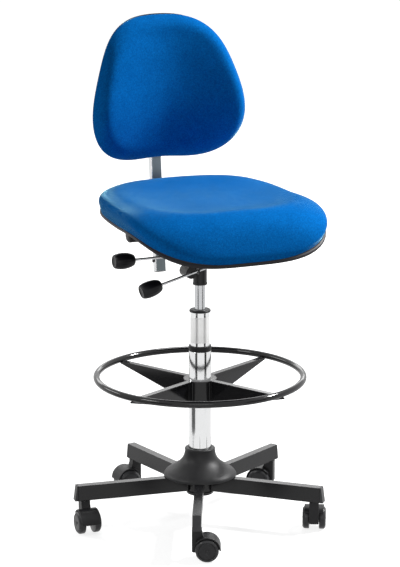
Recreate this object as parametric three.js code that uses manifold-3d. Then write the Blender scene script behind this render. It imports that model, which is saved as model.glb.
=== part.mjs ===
// A high swivel work chair on castors, with a foot ring, a gas lift and a contoured seat and back.
// Millimetres. +Z is up, the chair faces -Y, and the sitter's right hand is on the -X side.
// The origin is on the floor, in the middle of the footprint. The column stands at columnX, columnY.
import * as THREE from "three";
import Module from "manifold-3d";
import { mergeVertices } from "three/addons/utils/BufferGeometryUtils.js";

const wasm = await Module();
wasm.setup();

// Clearances that every fit is worked out from
const seatGap = 0.3;
const runGap = 0.5;
const overrun = 5;

// Sides of round pieces
const fineSides = 32;
const wheelSides = 20;
const roundSides = 20;
const smallSides = 12;
const gripSides = 20;
const tubeSides = 8;
const hoopSides = 48;
const arcSteps = 10;
const bendPoints = 5;
const bendSteps = 18;

// Where the column stands
const columnX = 18;
const columnY = -4;

// Five-arm base
const armCount = 5;
const firstArmTurn = -25.9;
const armWidth = 22;
const armHeight = 40;
const armWall = 2;
const armReach = 325;
const armTop = 120;
const capFace = 3.5;
const capSlant = 5.5;
const capPlug = 11;
const capPlugWall = 2.5;
const hubRadius = 34.5;
const hubBelowArms = 9;
const hubAboveArms = 4;
const hubLedge = 3;
const hubLedgeWidth = 6.5;

// Castors
const wheelRadius = 29;
const wheelWidth = 18.5;
const wheelSpacing = 25;
const wheelTread = 10.5;
const wheelRimStep = 0.8;
const wheelDomeShares = [[1, 0], [0.94, 0.5], [0.82, 0.8]];
const wheelFaceShare = 0.4;
const axleRadius = 3;
const castorTrail = 25;
const webFloorClearance = 20;
const webBackRise = 3;
const hoodGap = 1.6;
const hoodWall = 3.4;
const hoodWidth = 50;
const hoodFrontAngle = 0;
const hoodCrownAngle = 105;
const bossRadius = 12.5;
const stemRadius = 5.5;
const stemLength = 30;
const stemInset = 17;
const castorTurns = [91, 105, 112, 81, 95];

// Hub cover
const coverSkirtRadius = 94;
const coverNeckRadius = 39;
const coverHeight = 73.5;
const coverWall = 2.5;
const coverLip = 3;
const coverFlareShare = 0.62;
const coverSteps = 6;

// Column
const sleeveRadius = 28.5;
const sleeveWall = 2;
const sleeveTop = 451;
const collarHeight = 14.5;
const collarRadius = 28.9;
const collarSkirt = 20;
const tubeRadius = 25;
const tubeWall = 1.7;
const tubeRise = 102;
const tubeFloor = 4;
const bushHeight = 6;
const bushRadius = 27.5;
const bushSkirt = 30;
const cylinderRadius = 14;
const cylinderWall = 2;
const cylinderBottom = 250;
const cylinderRise = 123;
const cylinderHead = 16;
const cylinderGuide = 12;
const rodRadius = 5;
const rodTop = 430;
const rodTail = 6;
const rodFlangeRadius = 10;
const rodFlangeHeight = 4;
const pistonHeight = 8;
const bearingRadius = 14;
const bearingHeight = 4;
const clipRadius = 11;
const clipHeight = 2;
const buttonRadius = 3;
const buttonRise = 6;
const buttonDepth = 10;

// Foot ring
const ringRadius = 264.5;
const ringTubeRadius = 8.4;
const ringRise = 5;
const ringHubWall = 3.5;
const ringHubHeight = 72;
const ringDiscRadius = 42.5;
const ringDiscHeight = 3;
const spokeCount = 4;
const firstSpokeTurn = -63.75;
const spokeWidth = 16;
const spokeFlange = 3;
const spokeDrop = 73;
const gussetWall = 3;
const gussetTip = 4;
const gussetNose = 6;
const lugWall = 4;
const lugReach = 14;
const lugHeight = 22;
const lugSplit = 3;
const lugTurn = -3;
const boltRadius = 3;
const boltHeadRadius = 5.5;
const boltHeadHeight = 4;
const boltTail = 6;

// Seat mechanism
const socketDepth = 52;
const socketRadius = 17.8;
const socketFlare = 1;
const socketFlareHeight = 4;
const housingFloorRise = 8;
const housingHeight = 56;
const housingNoseRise = 20;
const housingNoseLength = 42;
const housingHalfWidth = 38;
const housingFront = -92;
const housingRear = 66;
const housingWall = 3;
const camRadius = 15;
const camX = -37;
const camFront = -30;
const camRear = 12;
const camDrop = 22;
const leverEarDrop = 16;
const leverEarLength = 14;
const plateLength = 190;
const plateWidth = 150;
const plateThickness = 3;

// Levers
const leverRodRadius = 3.5;
const gripLength = 55;
const gripRadius = 21;
const gripEndShare = 0.8;
const gripNeckShare = 0.55;
const gripRoundShare = 0.08;
const gripBarrelShares = [[1, 0.38], [0.97, 0.6]];
const gripSocket = 34;
const gasLeverY = -70;
const gasLeverSlope = 14.5;
const gasGripReach = 139;
const backLeverY = 40;
const backLeverRise = 10;
const backGripReach = 161;
const backLeverInside = 24;
const leverBend = 16;
const leverTravel = 4.5;

// Back arm, pivot and guide
const pivotY = 92;
const pivotRise = 16;
const pivotPinRadius = 5;
const knuckleRadius = 12;
const knuckleWidth = 34;
const earWall = 4;
const earRadius = 14;
const springRadius = 9.5;
const armStrapWidth = 34;
const armStrapHeight = 10;
const uprightWidth = 30;
const uprightDepth = 20;
const uprightWall = 2;
const uprightFootY = 256;
const uprightFootDrop = 78;
const uprightPastBracket = 48.6;
const uprightLean = 5.75;
const guideFrom = 76;
const guideHeight = 60;
const guideWall = 6;
const knobAlong = 101;
const knobRadius = 20;
const knobLength = 34;
const knobStandOff = 32;
const knobStudRadius = 4;
const knobRoundShare = 0.12;
const stopAlong = 27;
const stopRadius = 4;
const stopHeight = 4;

// Backrest
const backMiddleRise = 303;
const backMeanRadius = 202.5;
const backWaveShares = [1, -0.123, -0.041, 0.057, -0.055];
const backCurveRadius = 460;
const backRimY = 257;
const lumbarDepth = 24;
const lumbarDrop = 37;
const lumbarReach = 200;
const backShellWall = 6;
const backShellBehindRim = 15;
const backCushionFront = 30;
const backSides = 48;
const backInnerShares = [0.25, 0.5, 0.8];
const backShellRimShares = [[0.955, 0.2], [0.985, 0.6]];
const backShellEdgeShare = 0.985;
const backPanelShare = 0.97;
const backSideShares = [0.995, 0.45];
const backFrontShares = [[1, 0.1], [0.99, 0.35], [0.955, 0.62], [0.9, 0.8], [0.8, 0.92], [0.6, 0.98], [0.3, 1]];
const bracketPlateWidth = 80;
const bracketPlateHeight = 90;
const bracketPlateWall = 3;
const bracketBlockWidth = 44;
const bracketBlockHeight = 56;
const bracketGrip = 14;

// Seat
const seatWidth = 494;
const seatLength = 490;
const seatForward = 54;
const seatTaper = 0.055;
const seatPowerFront = 3.7;
const seatPowerRear = 3.9;
const seatTrimRise = 69;
const seatRiseRear = 9;
const seatFrontDrop = 66;
const seatDropPower = 4;
const seatSideDrop = 10;
const seatLip = 10;
const seatPanWall = 4;
const seatPanFlatShare = 0.5;
const seatCushionRise = 57;
const seatDish = 13;
const seatDishCentreShare = 0.1;
const seatDishReachShare = 0.75;
const seatSides = 48;
const seatPanPower = 1.6;
const seatCrownFallShare = 0.12;
const seatCrownPower = 6;
const seatPanShares = [0.5, 0.7, 0.85];
const seatPanOuterShare = 0.95;
const seatPanInnerShare = 0.93;
const seatLipShares = [0.985, 0.975];
const seatPadFootShare = 0.97;
const seatOverhangShare = 1.004;
const seatSideShares = [[1.012, 0.15], [1.008, 0.35]];
const seatShoulderShares = [[0.985, 0.75], [0.94, 0.87]];
const seatCrownShares = [0.87, 0.75, 0.6, 0.4, 0.2];

// Values worked out from the sizes above
const armBottom = armTop - armHeight;
const hubBottom = armBottom - hubBelowArms;
const ledgeTop = hubBottom + hubLedge;
const stemReach = armReach - stemInset;
const coverBottom = armTop + seatGap;
const coverTop = coverBottom + coverHeight;
const tubeTop = sleeveTop + tubeRise;
const cylinderTop = tubeTop + cylinderRise;
const spokeLevel = sleeveTop - spokeDrop;
const ringLevel = spokeLevel + ringRise;
const socketBottom = cylinderTop - socketDepth;
const housingBottom = cylinderTop + housingFloorRise;
const housingTop = housingBottom + housingHeight;
const pivotLevel = housingBottom + pivotRise;
const backLeverLevel = housingBottom + backLeverRise;
const uprightFootLevel = housingBottom - uprightFootDrop;
const seatTrimLevel = housingTop + seatTrimRise;
const backMiddleLevel = seatTrimLevel + backMiddleRise;
const lumbarLevel = backMiddleLevel - lumbarDrop;
const plateBottom = housingTop + seatGap;
const panBottom = plateBottom + plateThickness + seatGap;
const ringHubBottom = spokeLevel - ringHubHeight;
const wallX = -(housingHalfWidth - housingWall / 2);
const gasSlope = THREE.MathUtils.degToRad(gasLeverSlope);
const buttonTop = cylinderTop + buttonRise;
const gasLeverEndLevel = buttonTop + runGap + leverRodRadius;
const gasPivotLevel = gasLeverEndLevel + wallX * Math.tan(gasSlope);
const lean = THREE.MathUtils.degToRad(uprightLean);
const uprightLength = (lumbarLevel - uprightFootLevel) / Math.cos(lean) + uprightPastBracket;

// Finishes
const finishes = {
  blackSteel: [0x232426, 0.35, 0.2],
  blackPlastic: [0x1b1b1d, 0.55, 0],
  chrome: [0xe4e6e8, 0.12, 1],
  steel: [0xa9adb0, 0.3, 0.9],
  greySteel: [0x8f9a9e, 0.4, 0.5],
  tread: [0x2f3032, 0.7, 0],
  fabric: [0x1467b8, 0.9, 0],
};

function material(name) {
  const [color, roughness, metalness] = finishes[name];
  return new THREE.MeshStandardMaterial({ color, roughness, metalness });
}

const part = new THREE.Group();
const chair = new THREE.Group();
chair.position.set(columnX, columnY, 0);
part.add(chair);

function add(parent, name, geometry, finish) {
  const mesh = new THREE.Mesh(geometry, material(finish));
  mesh.name = name;
  parent.add(mesh);
  return mesh;
}

// Solids and booleans
function toSolid(geometry) {
  const bare = geometry.clone();
  bare.deleteAttribute("normal");
  bare.deleteAttribute("uv");
  const merged = mergeVertices(bare);
  return new wasm.Manifold(new wasm.Mesh({
    numProp: 3,
    vertProperties: new Float32Array(merged.attributes.position.array),
    triVerts: new Uint32Array(merged.index.array),
  }));
}

function toGeometry(solid) {
  const mesh = solid.getMesh();
  const geometry = new THREE.BufferGeometry();
  geometry.setAttribute("position", new THREE.BufferAttribute(new Float32Array(mesh.vertProperties), 3));
  geometry.setIndex(new THREE.BufferAttribute(new Uint32Array(mesh.triVerts), 1));
  return geometry;
}

function joined(first, ...others) {
  return toGeometry(others.reduce((sum, other) => sum.add(toSolid(other)), toSolid(first)));
}

function cut(first, ...tools) {
  return toGeometry(tools.reduce((rest, tool) => rest.subtract(toSolid(tool)), toSolid(first)));
}

// Basic shapes, all built in the chair's own directions
function block(x0, x1, y0, y1, z0, z1) {
  const geometry = new THREE.BoxGeometry(x1 - x0, y1 - y0, z1 - z0);
  return geometry.translate((x0 + x1) / 2, (y0 + y1) / 2, (z0 + z1) / 2);
}

function revolve(profile, sides) {
  const points = profile.map(([radius, height]) => new THREE.Vector2(radius, height));
  return new THREE.LatheGeometry(points, sides).rotateX(Math.PI / 2);
}

function ring(inner, outer, bottom, top, sides) {
  return revolve([[inner, bottom], [outer, bottom], [outer, top], [inner, top], [inner, bottom]], sides);
}

function rod(radius, bottom, top, sides) {
  return revolve([[0, bottom], [radius, bottom], [radius, top], [0, top]], sides);
}

// A rod or revolved piece laid along X: what was up now points to +X
function alongX(geometry) {
  return geometry.rotateY(Math.PI / 2);
}

function alongY(geometry) {
  return geometry.rotateX(-Math.PI / 2);
}

// An outline in X and Z, drawn out evenly to both sides of Y = 0
function plateXZ(outline, width) {
  const shape = new THREE.Shape(outline.map(([x, z]) => new THREE.Vector2(x, z)));
  const geometry = new THREE.ExtrudeGeometry(shape, { depth: width, bevelEnabled: false });
  return geometry.rotateX(Math.PI / 2).translate(0, width / 2, 0);
}

// A closed skin through rings of equally many points, closed by a point at each end.
// Each four-sided face is split from its narrower ring, so that skins that lie together match.
function loft(start, rings, end) {
  const count = rings[0].length;
  const span = (points) => Math.hypot(...points[0].map((value, axis) => value - points[count / 2][axis]));
  const positions = [...start, ...rings.flat(2), ...end];
  const last = positions.length / 3 - 1;
  const at = (level, k) => 1 + level * count + (k % count);
  const faces = [];
  for (let k = 0; k < count; k++) {
    faces.push(0, at(0, k + 1), at(0, k));
    faces.push(last, at(rings.length - 1, k), at(rings.length - 1, k + 1));
    for (let level = 0; level + 1 < rings.length; level++) {
      const [a, b] = [at(level, k), at(level, k + 1)];
      const [c, d] = [at(level + 1, k + 1), at(level + 1, k)];
      if (span(rings[level]) > span(rings[level + 1])) faces.push(a, b, d, b, c, d);
      else faces.push(a, b, c, a, c, d);
    }
  }
  const geometry = new THREE.BufferGeometry();
  geometry.setAttribute("position", new THREE.Float32BufferAttribute(positions, 3));
  geometry.setIndex(faces);
  return geometry;
}

function arc(centreX, centreZ, radius, fromDegrees, toDegrees, steps) {
  const points = [];
  for (let k = 0; k <= steps; k++) {
    const angle = THREE.MathUtils.degToRad(fromDegrees + (toDegrees - fromDegrees) * k / steps);
    points.push([centreX + radius * Math.cos(angle), centreZ + radius * Math.sin(angle)]);
  }
  return points;
}

// Base: hub, arms and end caps. Each arm's group has +X pointing outwards.
function makeBase() {
  const bore = sleeveRadius + seatGap;
  const ledgeBore = bore - hubLedgeWidth;
  const top = armTop + hubAboveArms;
  add(chair, "base_hub", revolve([
    [ledgeBore, hubBottom], [hubRadius, hubBottom], [hubRadius, top], [bore, top],
    [bore, ledgeTop], [ledgeBore, ledgeTop], [ledgeBore, hubBottom],
  ], fineSides), "blackSteel");
  for (let k = 0; k < armCount; k++) {
    const group = new THREE.Group();
    group.rotation.z = THREE.MathUtils.degToRad(firstArmTurn - 90 + k * 360 / armCount);
    chair.add(group);
    makeArm(group, k + 1);
    makeCastor(group, k + 1);
  }
}

function makeArm(group, number) {
  const half = armWidth / 2;
  const inner = half - armWall;
  add(group, `base_arm_${number}`, cut(
    block(0, armReach, -half, half, armBottom, armTop),
    rod(hubRadius + seatGap, armBottom - overrun, armTop + overrun, fineSides),
    block(-overrun, armReach + overrun, -inner, inner, armBottom + armWall, armTop - armWall),
    rod(stemRadius + seatGap, armBottom - overrun, armBottom + armWall + overrun, smallSides)
      .translate(stemReach, 0, 0),
  ), "blackSteel");
  const face = armReach + seatGap;
  const plugHalf = inner - seatGap;
  const plugBottom = armBottom + armWall + seatGap;
  const plugTop = armTop - armWall - seatGap;
  const outline = [
    [face, armBottom], [face + capFace + capSlant, armBottom], [face + capFace, armTop], [face, armTop],
  ];
  add(group, `arm_cap_${number}`, cut(
    joined(
      plateXZ(outline, armWidth),
      block(face - capPlug, face + capFace / 2, -plugHalf, plugHalf, plugBottom, plugTop),
    ),
    block(face - capPlug - overrun, face - capPlugWall, -plugHalf + capPlugWall, plugHalf - capPlugWall,
      plugBottom + capPlugWall, plugTop - capPlugWall),
  ), "blackPlastic");
}

// A twin-wheel castor. In its own group the stem is at X = 0 and the axle trails along +X.
function makeCastor(armGroup, number) {
  const group = new THREE.Group();
  group.position.x = stemReach;
  group.rotation.z = THREE.MathUtils.degToRad(castorTurns[number - 1]);
  armGroup.add(group);
  const castorTop = armBottom - seatGap;
  const hoodInner = wheelRadius + hoodGap;
  const hoodOuter = hoodInner + hoodWall;
  const bossBack = -bossRadius;
  const webWidth = wheelSpacing - 2 * runGap;
  const hoodBackAngle = 180 - THREE.MathUtils.radToDeg(Math.asin(webFloorClearance / hoodOuter));
  const web = [
    [bossBack, webFloorClearance + webBackRise], [castorTrail, webFloorClearance],
    ...arc(castorTrail, wheelRadius, hoodOuter, hoodFrontAngle, hoodCrownAngle, arcSteps),
    [bossRadius, castorTop - (castorTop - wheelRadius - hoodOuter) / 2],
    [bossRadius, castorTop], [bossBack, castorTop],
  ];
  const hoodBand = [
    ...arc(castorTrail, wheelRadius, hoodOuter, hoodFrontAngle, hoodBackAngle, arcSteps),
    ...arc(castorTrail, wheelRadius, hoodInner, hoodBackAngle, hoodFrontAngle, arcSteps),
  ];
  const pinHalf = wheelSpacing / 2 + wheelTread;
  add(group, `castor_${number}_fork`, joined(
    plateXZ(web, webWidth),
    plateXZ(hoodBand, hoodWidth),
    alongY(rod(axleRadius, -pinHalf, pinHalf, smallSides)).translate(castorTrail, 0, wheelRadius),
    rod(stemRadius, castorTop - overrun, castorTop + stemLength, smallSides),
  ), "blackPlastic");
  makeWheel(group, `castor_${number}_wheel_a`, 1);
  makeWheel(group, `castor_${number}_wheel_b`, -1);
}

function makeWheel(group, name, side) {
  const bore = axleRadius + runGap;
  const inner = wheelSpacing / 2;
  const face = inner + wheelWidth;
  const dome = wheelDomeShares.map(([radius, rise]) => [
    wheelRadius * radius, inner + wheelTread + (wheelWidth - wheelTread) * rise,
  ]);
  const [rimRadius, rimFace] = dome[dome.length - 1];
  const profile = [
    [bore, inner], [wheelRadius, inner], ...dome, [rimRadius - wheelRimStep, rimFace - wheelRimStep],
    [wheelRadius * wheelFaceShare, face - wheelRimStep], [bore, face - wheelRimStep], [bore, inner],
  ];
  const wheel = add(group, name, alongY(revolve(profile, wheelSides)), "tread");
  wheel.position.set(castorTrail, 0, wheelRadius);
  wheel.rotation.z = side > 0 ? 0 : Math.PI;
}

// The cover over the hub: a skirt on the arms that sweeps up into a neck round the sleeve
function makeHubCover() {
  const outer = [];
  for (let k = 0; k <= coverSteps; k++) {
    const share = k / coverSteps;
    const flare = (1 + Math.cos(Math.PI * Math.min(share / coverFlareShare, 1))) / 2;
    const radius = coverNeckRadius + (coverSkirtRadius - coverNeckRadius) * flare;
    outer.push([radius, coverBottom + coverLip + (coverHeight - coverLip) * share]);
  }
  const inner = outer.slice(0, -1).reverse().map(([r, z]) => [r - coverWall, z - coverLip / 2]);
  const bore = sleeveRadius + runGap;
  add(chair, "hub_cover", revolve([
    [coverSkirtRadius - coverWall, coverBottom], [coverSkirtRadius, coverBottom], ...outer,
    [bore, coverTop], [bore, coverTop - coverLip],
    [coverNeckRadius - coverWall, coverTop - coverLip], ...inner.slice(0, -1),
    [coverSkirtRadius - coverWall, coverBottom],
  ], fineSides), "blackPlastic");
}

// Column: the outer sleeve, the tube of the gas spring in it, and what turns and slides inside
function makeColumn() {
  const sleeveBottom = ledgeTop + seatGap;
  add(chair, "pedestal_sleeve",
    ring(sleeveRadius - sleeveWall, sleeveRadius, sleeveBottom, sleeveTop, fineSides), "chrome");
  const collarBore = tubeRadius + seatGap;
  const collarBottom = sleeveTop + seatGap;
  const skirtRadius = sleeveRadius - sleeveWall - seatGap;
  add(chair, "sleeve_collar", revolve([
    [collarBore, sleeveTop - collarSkirt], [skirtRadius, sleeveTop - collarSkirt],
    [skirtRadius, collarBottom], [collarRadius, collarBottom],
    [collarRadius, sleeveTop + collarHeight], [collarBore, sleeveTop + collarHeight],
    [collarBore, sleeveTop - collarSkirt],
  ], fineSides), "blackPlastic");
  const tubeBottom = ledgeTop + seatGap;
  const tubeBore = tubeRadius - tubeWall;
  const rodBore = rodRadius + runGap;
  const floorTop = tubeBottom + tubeFloor;
  add(chair, "gas_spring_tube", revolve([
    [rodBore, tubeBottom], [tubeRadius, tubeBottom], [tubeRadius, tubeTop], [tubeBore, tubeTop],
    [tubeBore, floorTop], [rodBore, floorTop], [rodBore, tubeBottom],
  ], fineSides), "chrome");
  const bushBore = cylinderRadius + seatGap;
  const bushBottom = tubeTop + seatGap;
  const bushPlug = tubeBore - seatGap;
  add(chair, "guide_bush", revolve([
    [bushBore, tubeTop - bushSkirt], [bushPlug, tubeTop - bushSkirt], [bushPlug, bushBottom],
    [bushRadius, bushBottom], [bushRadius, bushBottom + bushHeight], [bushBore, bushBottom + bushHeight],
    [bushBore, tubeTop - bushSkirt],
  ], fineSides), "blackPlastic");
  const bearingBottom = floorTop + seatGap;
  const bearingTop = bearingBottom + bearingHeight;
  add(chair, "thrust_bearing",
    ring(rodRadius + seatGap, bearingRadius, bearingBottom, bearingTop, roundSides), "steel");
  const flangeBottom = bearingTop + seatGap;
  const pistonRadius = cylinderRadius - cylinderWall - runGap;
  add(chair, "piston_rod", revolve([
    [0, tubeBottom - rodTail], [rodRadius, tubeBottom - rodTail], [rodRadius, flangeBottom],
    [rodFlangeRadius, flangeBottom], [rodFlangeRadius, flangeBottom + rodFlangeHeight],
    [rodRadius, flangeBottom + rodFlangeHeight], [rodRadius, rodTop - pistonHeight],
    [pistonRadius, rodTop - pistonHeight], [pistonRadius, rodTop], [0, rodTop],
  ], smallSides), "steel");
  add(chair, "retaining_clip", ring(rodRadius + seatGap, clipRadius,
    tubeBottom - seatGap - clipHeight, tubeBottom - seatGap, smallSides), "steel");
  const pinBore = buttonRadius + seatGap;
  const cylinderBore = cylinderRadius - cylinderWall;
  const headBottom = cylinderTop - cylinderHead;
  const guideTop = cylinderBottom + cylinderGuide;
  add(chair, "gas_cylinder", revolve([
    [rodBore, cylinderBottom], [cylinderRadius, cylinderBottom], [cylinderRadius, cylinderTop],
    [pinBore, cylinderTop], [pinBore, headBottom], [cylinderBore, headBottom],
    [cylinderBore, guideTop], [rodBore, guideTop], [rodBore, cylinderBottom],
  ], roundSides), "chrome");
  add(chair, "release_button",
    rod(buttonRadius, cylinderTop - buttonDepth, buttonTop, smallSides), "steel");
}

// Foot ring: a tube ring on four flanged spokes with gussets, held on the sleeve by a split hub
function makeFootRing() {
  const group = new THREE.Group();
  chair.add(group);
  const hoop = new THREE.TorusGeometry(ringRadius, ringTubeRadius, tubeSides, hoopSides);
  add(group, "foot_ring_tube", hoop.translate(0, 0, ringLevel), "blackSteel");
  const bore = sleeveRadius + seatGap;
  const hubOuter = bore + ringHubWall;
  const lugOuter = hubOuter + lugReach;
  const lugTop = spokeLevel - ringDiscHeight - runGap;
  const lugSpan = lugSplit + 2 * lugWall;
  const split = lugSplit / 2;
  const boltReach = hubOuter + lugReach / 2;
  const boltLevel = lugTop - lugHeight / 2;
  const lugs = block(bore + ringHubWall / 2, lugOuter, -lugSpan / 2, lugSpan / 2, lugTop - lugHeight, lugTop);
  const slit = block(0, lugOuter + overrun, -split, split, ringHubBottom - overrun, lugTop + overrun);
  const boltHole = alongY(rod(boltRadius + seatGap, -lugSpan, lugSpan, smallSides))
    .translate(boltReach, 0, boltLevel);
  const hub = joined(
    ring(bore, hubOuter, ringHubBottom, spokeLevel, fineSides),
    ring(bore, ringDiscRadius, spokeLevel - ringDiscHeight, spokeLevel, fineSides),
    cut(lugs, rod(bore, ringHubBottom, spokeLevel, fineSides)),
  );
  const lugGroup = new THREE.Group();
  lugGroup.rotation.z = THREE.MathUtils.degToRad(lugTurn);
  group.add(lugGroup);
  const slitInWall = cut(slit, block(0, ringDiscRadius + overrun, -lugSpan, lugSpan,
    spokeLevel - ringDiscHeight - seatGap, spokeLevel + 2 * overrun));
  add(lugGroup, "foot_ring_hub", cut(hub, slitInWall, boltHole), "blackSteel");
  add(lugGroup, "foot_ring_bolt", alongY(revolve([
    [0, -lugSpan / 2 - seatGap - boltHeadHeight], [boltHeadRadius, -lugSpan / 2 - seatGap - boltHeadHeight],
    [boltHeadRadius, -lugSpan / 2 - seatGap], [boltRadius, -lugSpan / 2 - seatGap],
    [boltRadius, lugSpan / 2 + boltTail], [0, lugSpan / 2 + boltTail],
  ], smallSides)).translate(boltReach, 0, boltLevel), "steel");
  for (let k = 0; k < spokeCount; k++) {
    const spoke = new THREE.Group();
    spoke.rotation.z = THREE.MathUtils.degToRad(firstSpokeTurn - 90 + k * 360 / spokeCount);
    group.add(spoke);
    makeSpoke(spoke, k + 1, hubOuter);
  }
}

function makeSpoke(spoke, number, hubOuter) {
  const inner = hubOuter + seatGap;
  const flangeFrom = ringDiscRadius + seatGap;
  const flangeBottom = spokeLevel - spokeFlange;
  const underTube = ringLevel - ringTubeRadius - seatGap;
  const outer = ringRadius + gussetNose;
  const web = [
    [inner, ringHubBottom], [outer, underTube - gussetTip], [outer, underTube],
    [ringRadius - ringTubeRadius * 2, underTube], [ringRadius - ringTubeRadius * 2, flangeBottom + seatGap],
    [flangeFrom, flangeBottom + seatGap], [flangeFrom, flangeBottom - seatGap], [inner, flangeBottom - seatGap],
  ];
  const half = spokeWidth / 2;
  const flangeTo = ringRadius - ringTubeRadius - 2 * seatGap;
  const flange = block(flangeFrom, flangeTo, -half, half, flangeBottom, spokeLevel);
  const tubeSpace = new THREE.TorusGeometry(ringRadius, ringTubeRadius + seatGap, tubeSides, hoopSides)
    .rotateZ(Math.PI / hoopSides).translate(0, 0, ringLevel);
  add(spoke, `foot_ring_spoke_${number}`, cut(
    joined(plateXZ(web, gussetWall), flange),
    tubeSpace,
    rod(hubOuter + seatGap, ringHubBottom - overrun, flangeBottom - seatGap, fineSides),
  ), "blackSteel");
}

// Mechanism under the seat: a steel channel with the socket for the gas cylinder, and its top plate
function makeMechanism() {
  const wide = housingHalfWidth;
  const inside = wide - housingWall;
  const bore = cylinderRadius + seatGap;
  const earInner = knuckleWidth / 2 + springRadius / 2 + runGap;
  const ear = (side) => plateXZ(arc(0, 0, earRadius, -90, 90, arcSteps), earWall)
    .rotateZ(Math.PI / 2)
    .translate(side * (earInner + earWall / 2), pivotY, pivotLevel);
  const earNeck = (side) => block(
    side > 0 ? earInner : -earInner - earWall, side > 0 ? earInner + earWall : -earInner,
    housingRear - housingWall / 2, pivotY + earWall / 2, pivotLevel - earRadius, pivotLevel + earRadius,
  );
  const noseBottom = housingBottom + housingNoseRise;
  const noseRear = housingFront + housingNoseLength;
  const nose = (grow) => plateXZ([
    [housingFront - overrun, housingBottom - overrun], [noseRear, housingBottom - overrun],
    [noseRear, housingBottom + grow], [housingFront - overrun, noseBottom + grow],
  ], 2 * (wide + overrun)).rotateZ(Math.PI / 2);
  const earHalf = leverEarLength / 2;
  const slotHalf = leverRodRadius + 2 * runGap;
  const slotBottom = gasLeverEndLevel - slotHalf - leverTravel;
  const body = joined(
    cut(block(-wide, wide, housingFront, housingRear, housingBottom, housingTop), nose(0)),
    block(-wide, -inside, gasLeverY - earHalf, gasLeverY + earHalf, housingBottom - leverEarDrop,
      housingTop - housingWall),
    block(camX - camRadius / 2, camX + camRadius / 2, camFront, camRear,
      housingBottom - camDrop, housingBottom + housingWall),
    rod(socketRadius, socketBottom + socketFlareHeight, housingBottom + overrun, roundSides),
    rod(socketRadius + socketFlare, socketBottom, socketBottom + socketFlareHeight + seatGap, roundSides),
    alongY(rod(camRadius, camFront, camRear, roundSides)).translate(camX, 0, housingBottom - camDrop),
    ear(1), ear(-1), earNeck(1), earNeck(-1),
  );
  add(chair, "mechanism_housing", cut(
    body,
    cut(block(-inside, inside, housingFront + housingWall, housingRear - housingWall,
      housingBottom + housingWall, housingTop + overrun), nose(housingWall)),
    rod(bore, socketBottom - overrun, housingBottom + housingWall + overrun, roundSides),
    block(-slotHalf, slotHalf, housingFront, slotHalf, slotBottom, gasLeverEndLevel + slotHalf),
    alongX(rod(slotHalf, -wide - overrun, -inside + overrun, smallSides)).translate(0, gasLeverY, gasPivotLevel),
    alongX(rod(slotHalf, -wide - overrun, 0, smallSides)).translate(0, backLeverY, backLeverLevel),
    alongX(rod(pivotPinRadius + seatGap, -wide, wide, smallSides)).translate(0, pivotY, pivotLevel),
  ), "blackSteel");
  const plateHalf = plateWidth / 2;
  const plateMiddle = (housingFront + housingRear) / 2;
  add(chair, "seat_plate", block(-plateHalf, plateHalf, plateMiddle - plateLength / 2,
    plateMiddle + plateLength / 2, plateBottom, plateBottom + plateThickness), "blackSteel");
}

// Barrel grip: outer end at height 0, neck and rod socket at the other end
function gripGeometry() {
  const end = gripRadius * gripEndShare;
  const neck = gripRadius * gripNeckShare;
  const bore = leverRodRadius + seatGap;
  const round = gripLength * gripRoundShare;
  return revolve([
    [0, 0], [end - round, 0], [end, round],
    ...gripBarrelShares.map(([radius, along]) => [gripRadius * radius, gripLength * along]),
    [neck + round, gripLength - round], [neck, gripLength],
    [bore, gripLength], [bore, gripLength - gripSocket], [0, gripLength - gripSocket],
  ], gripSides);
}

// A bent rod: two straight runs and a rounded corner
function bentRod(start, corner, end, bend, radius) {
  const before = corner.clone().sub(start).setLength(corner.distanceTo(start) - bend).add(start);
  const after = corner.clone().sub(end).setLength(corner.distanceTo(end) - bend).add(end);
  const curve = new THREE.QuadraticBezierCurve3(before, corner, after).getPoints(bendPoints);
  const path = new THREE.CatmullRomCurve3([start, ...curve, end], false, "catmullrom", 0);
  const circle = new THREE.Shape();
  circle.absarc(0, 0, radius, 0, 2 * Math.PI);
  return new THREE.ExtrudeGeometry(circle, {
    extrudePath: path, steps: bendSteps, bevelEnabled: false, curveSegments: smallSides / 2,
  });
}

function makeLevers() {
  // Gas lever: its group's origin is the pivot in the side wall, and it slopes down to the outside
  const gas = new THREE.Group();
  gas.position.set(wallX, gasLeverY, gasPivotLevel);
  chair.add(gas);
  const outward = new THREE.Vector3(-Math.cos(gasSlope), 0, -Math.sin(gasSlope));
  const rodEnd = gasGripReach + seatGap;
  const start = outward.clone().multiplyScalar(rodEnd);
  const corner = new THREE.Vector3(-wallX, 0, gasLeverEndLevel - gasPivotLevel);
  const end = new THREE.Vector3(-wallX, -gasLeverY + leverRodRadius, gasLeverEndLevel - gasPivotLevel);
  add(gas, "gas_lever_rod", bentRod(start, corner, end, leverBend, leverRodRadius), "blackSteel");
  const gasGrip = add(gas, "gas_lever_grip", gripGeometry(), "blackPlastic");
  placeGrip(gasGrip, outward, rodEnd);
  // Back lever: straight and level, pivoted in the same side wall
  const back = new THREE.Group();
  back.position.set(wallX, backLeverY, backLeverLevel);
  chair.add(back);
  add(back, "back_lever_rod",
    alongX(rod(leverRodRadius, -backGripReach, backLeverInside, smallSides)), "blackSteel");
  const backGrip = add(back, "back_lever_grip", gripGeometry(), "blackPlastic");
  placeGrip(backGrip, new THREE.Vector3(-1, 0, 0), backGripReach);
}

// Slides a grip onto a rod whose end lies at the given reach from the lever's pivot
function placeGrip(grip, outward, reach) {
  const outerEnd = reach + gripLength - gripSocket + seatGap;
  grip.position.copy(outward).multiplyScalar(outerEnd);
  grip.quaternion.setFromUnitVectors(new THREE.Vector3(0, 0, 1), outward.clone().negate());
}

// What follows is built in the upright's own directions: Z runs up the leaning upright
const uprightPlace = new THREE.Matrix4()
  .makeTranslation(0, uprightFootY, uprightFootLevel)
  .multiply(new THREE.Matrix4().makeRotationX(-lean));

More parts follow.
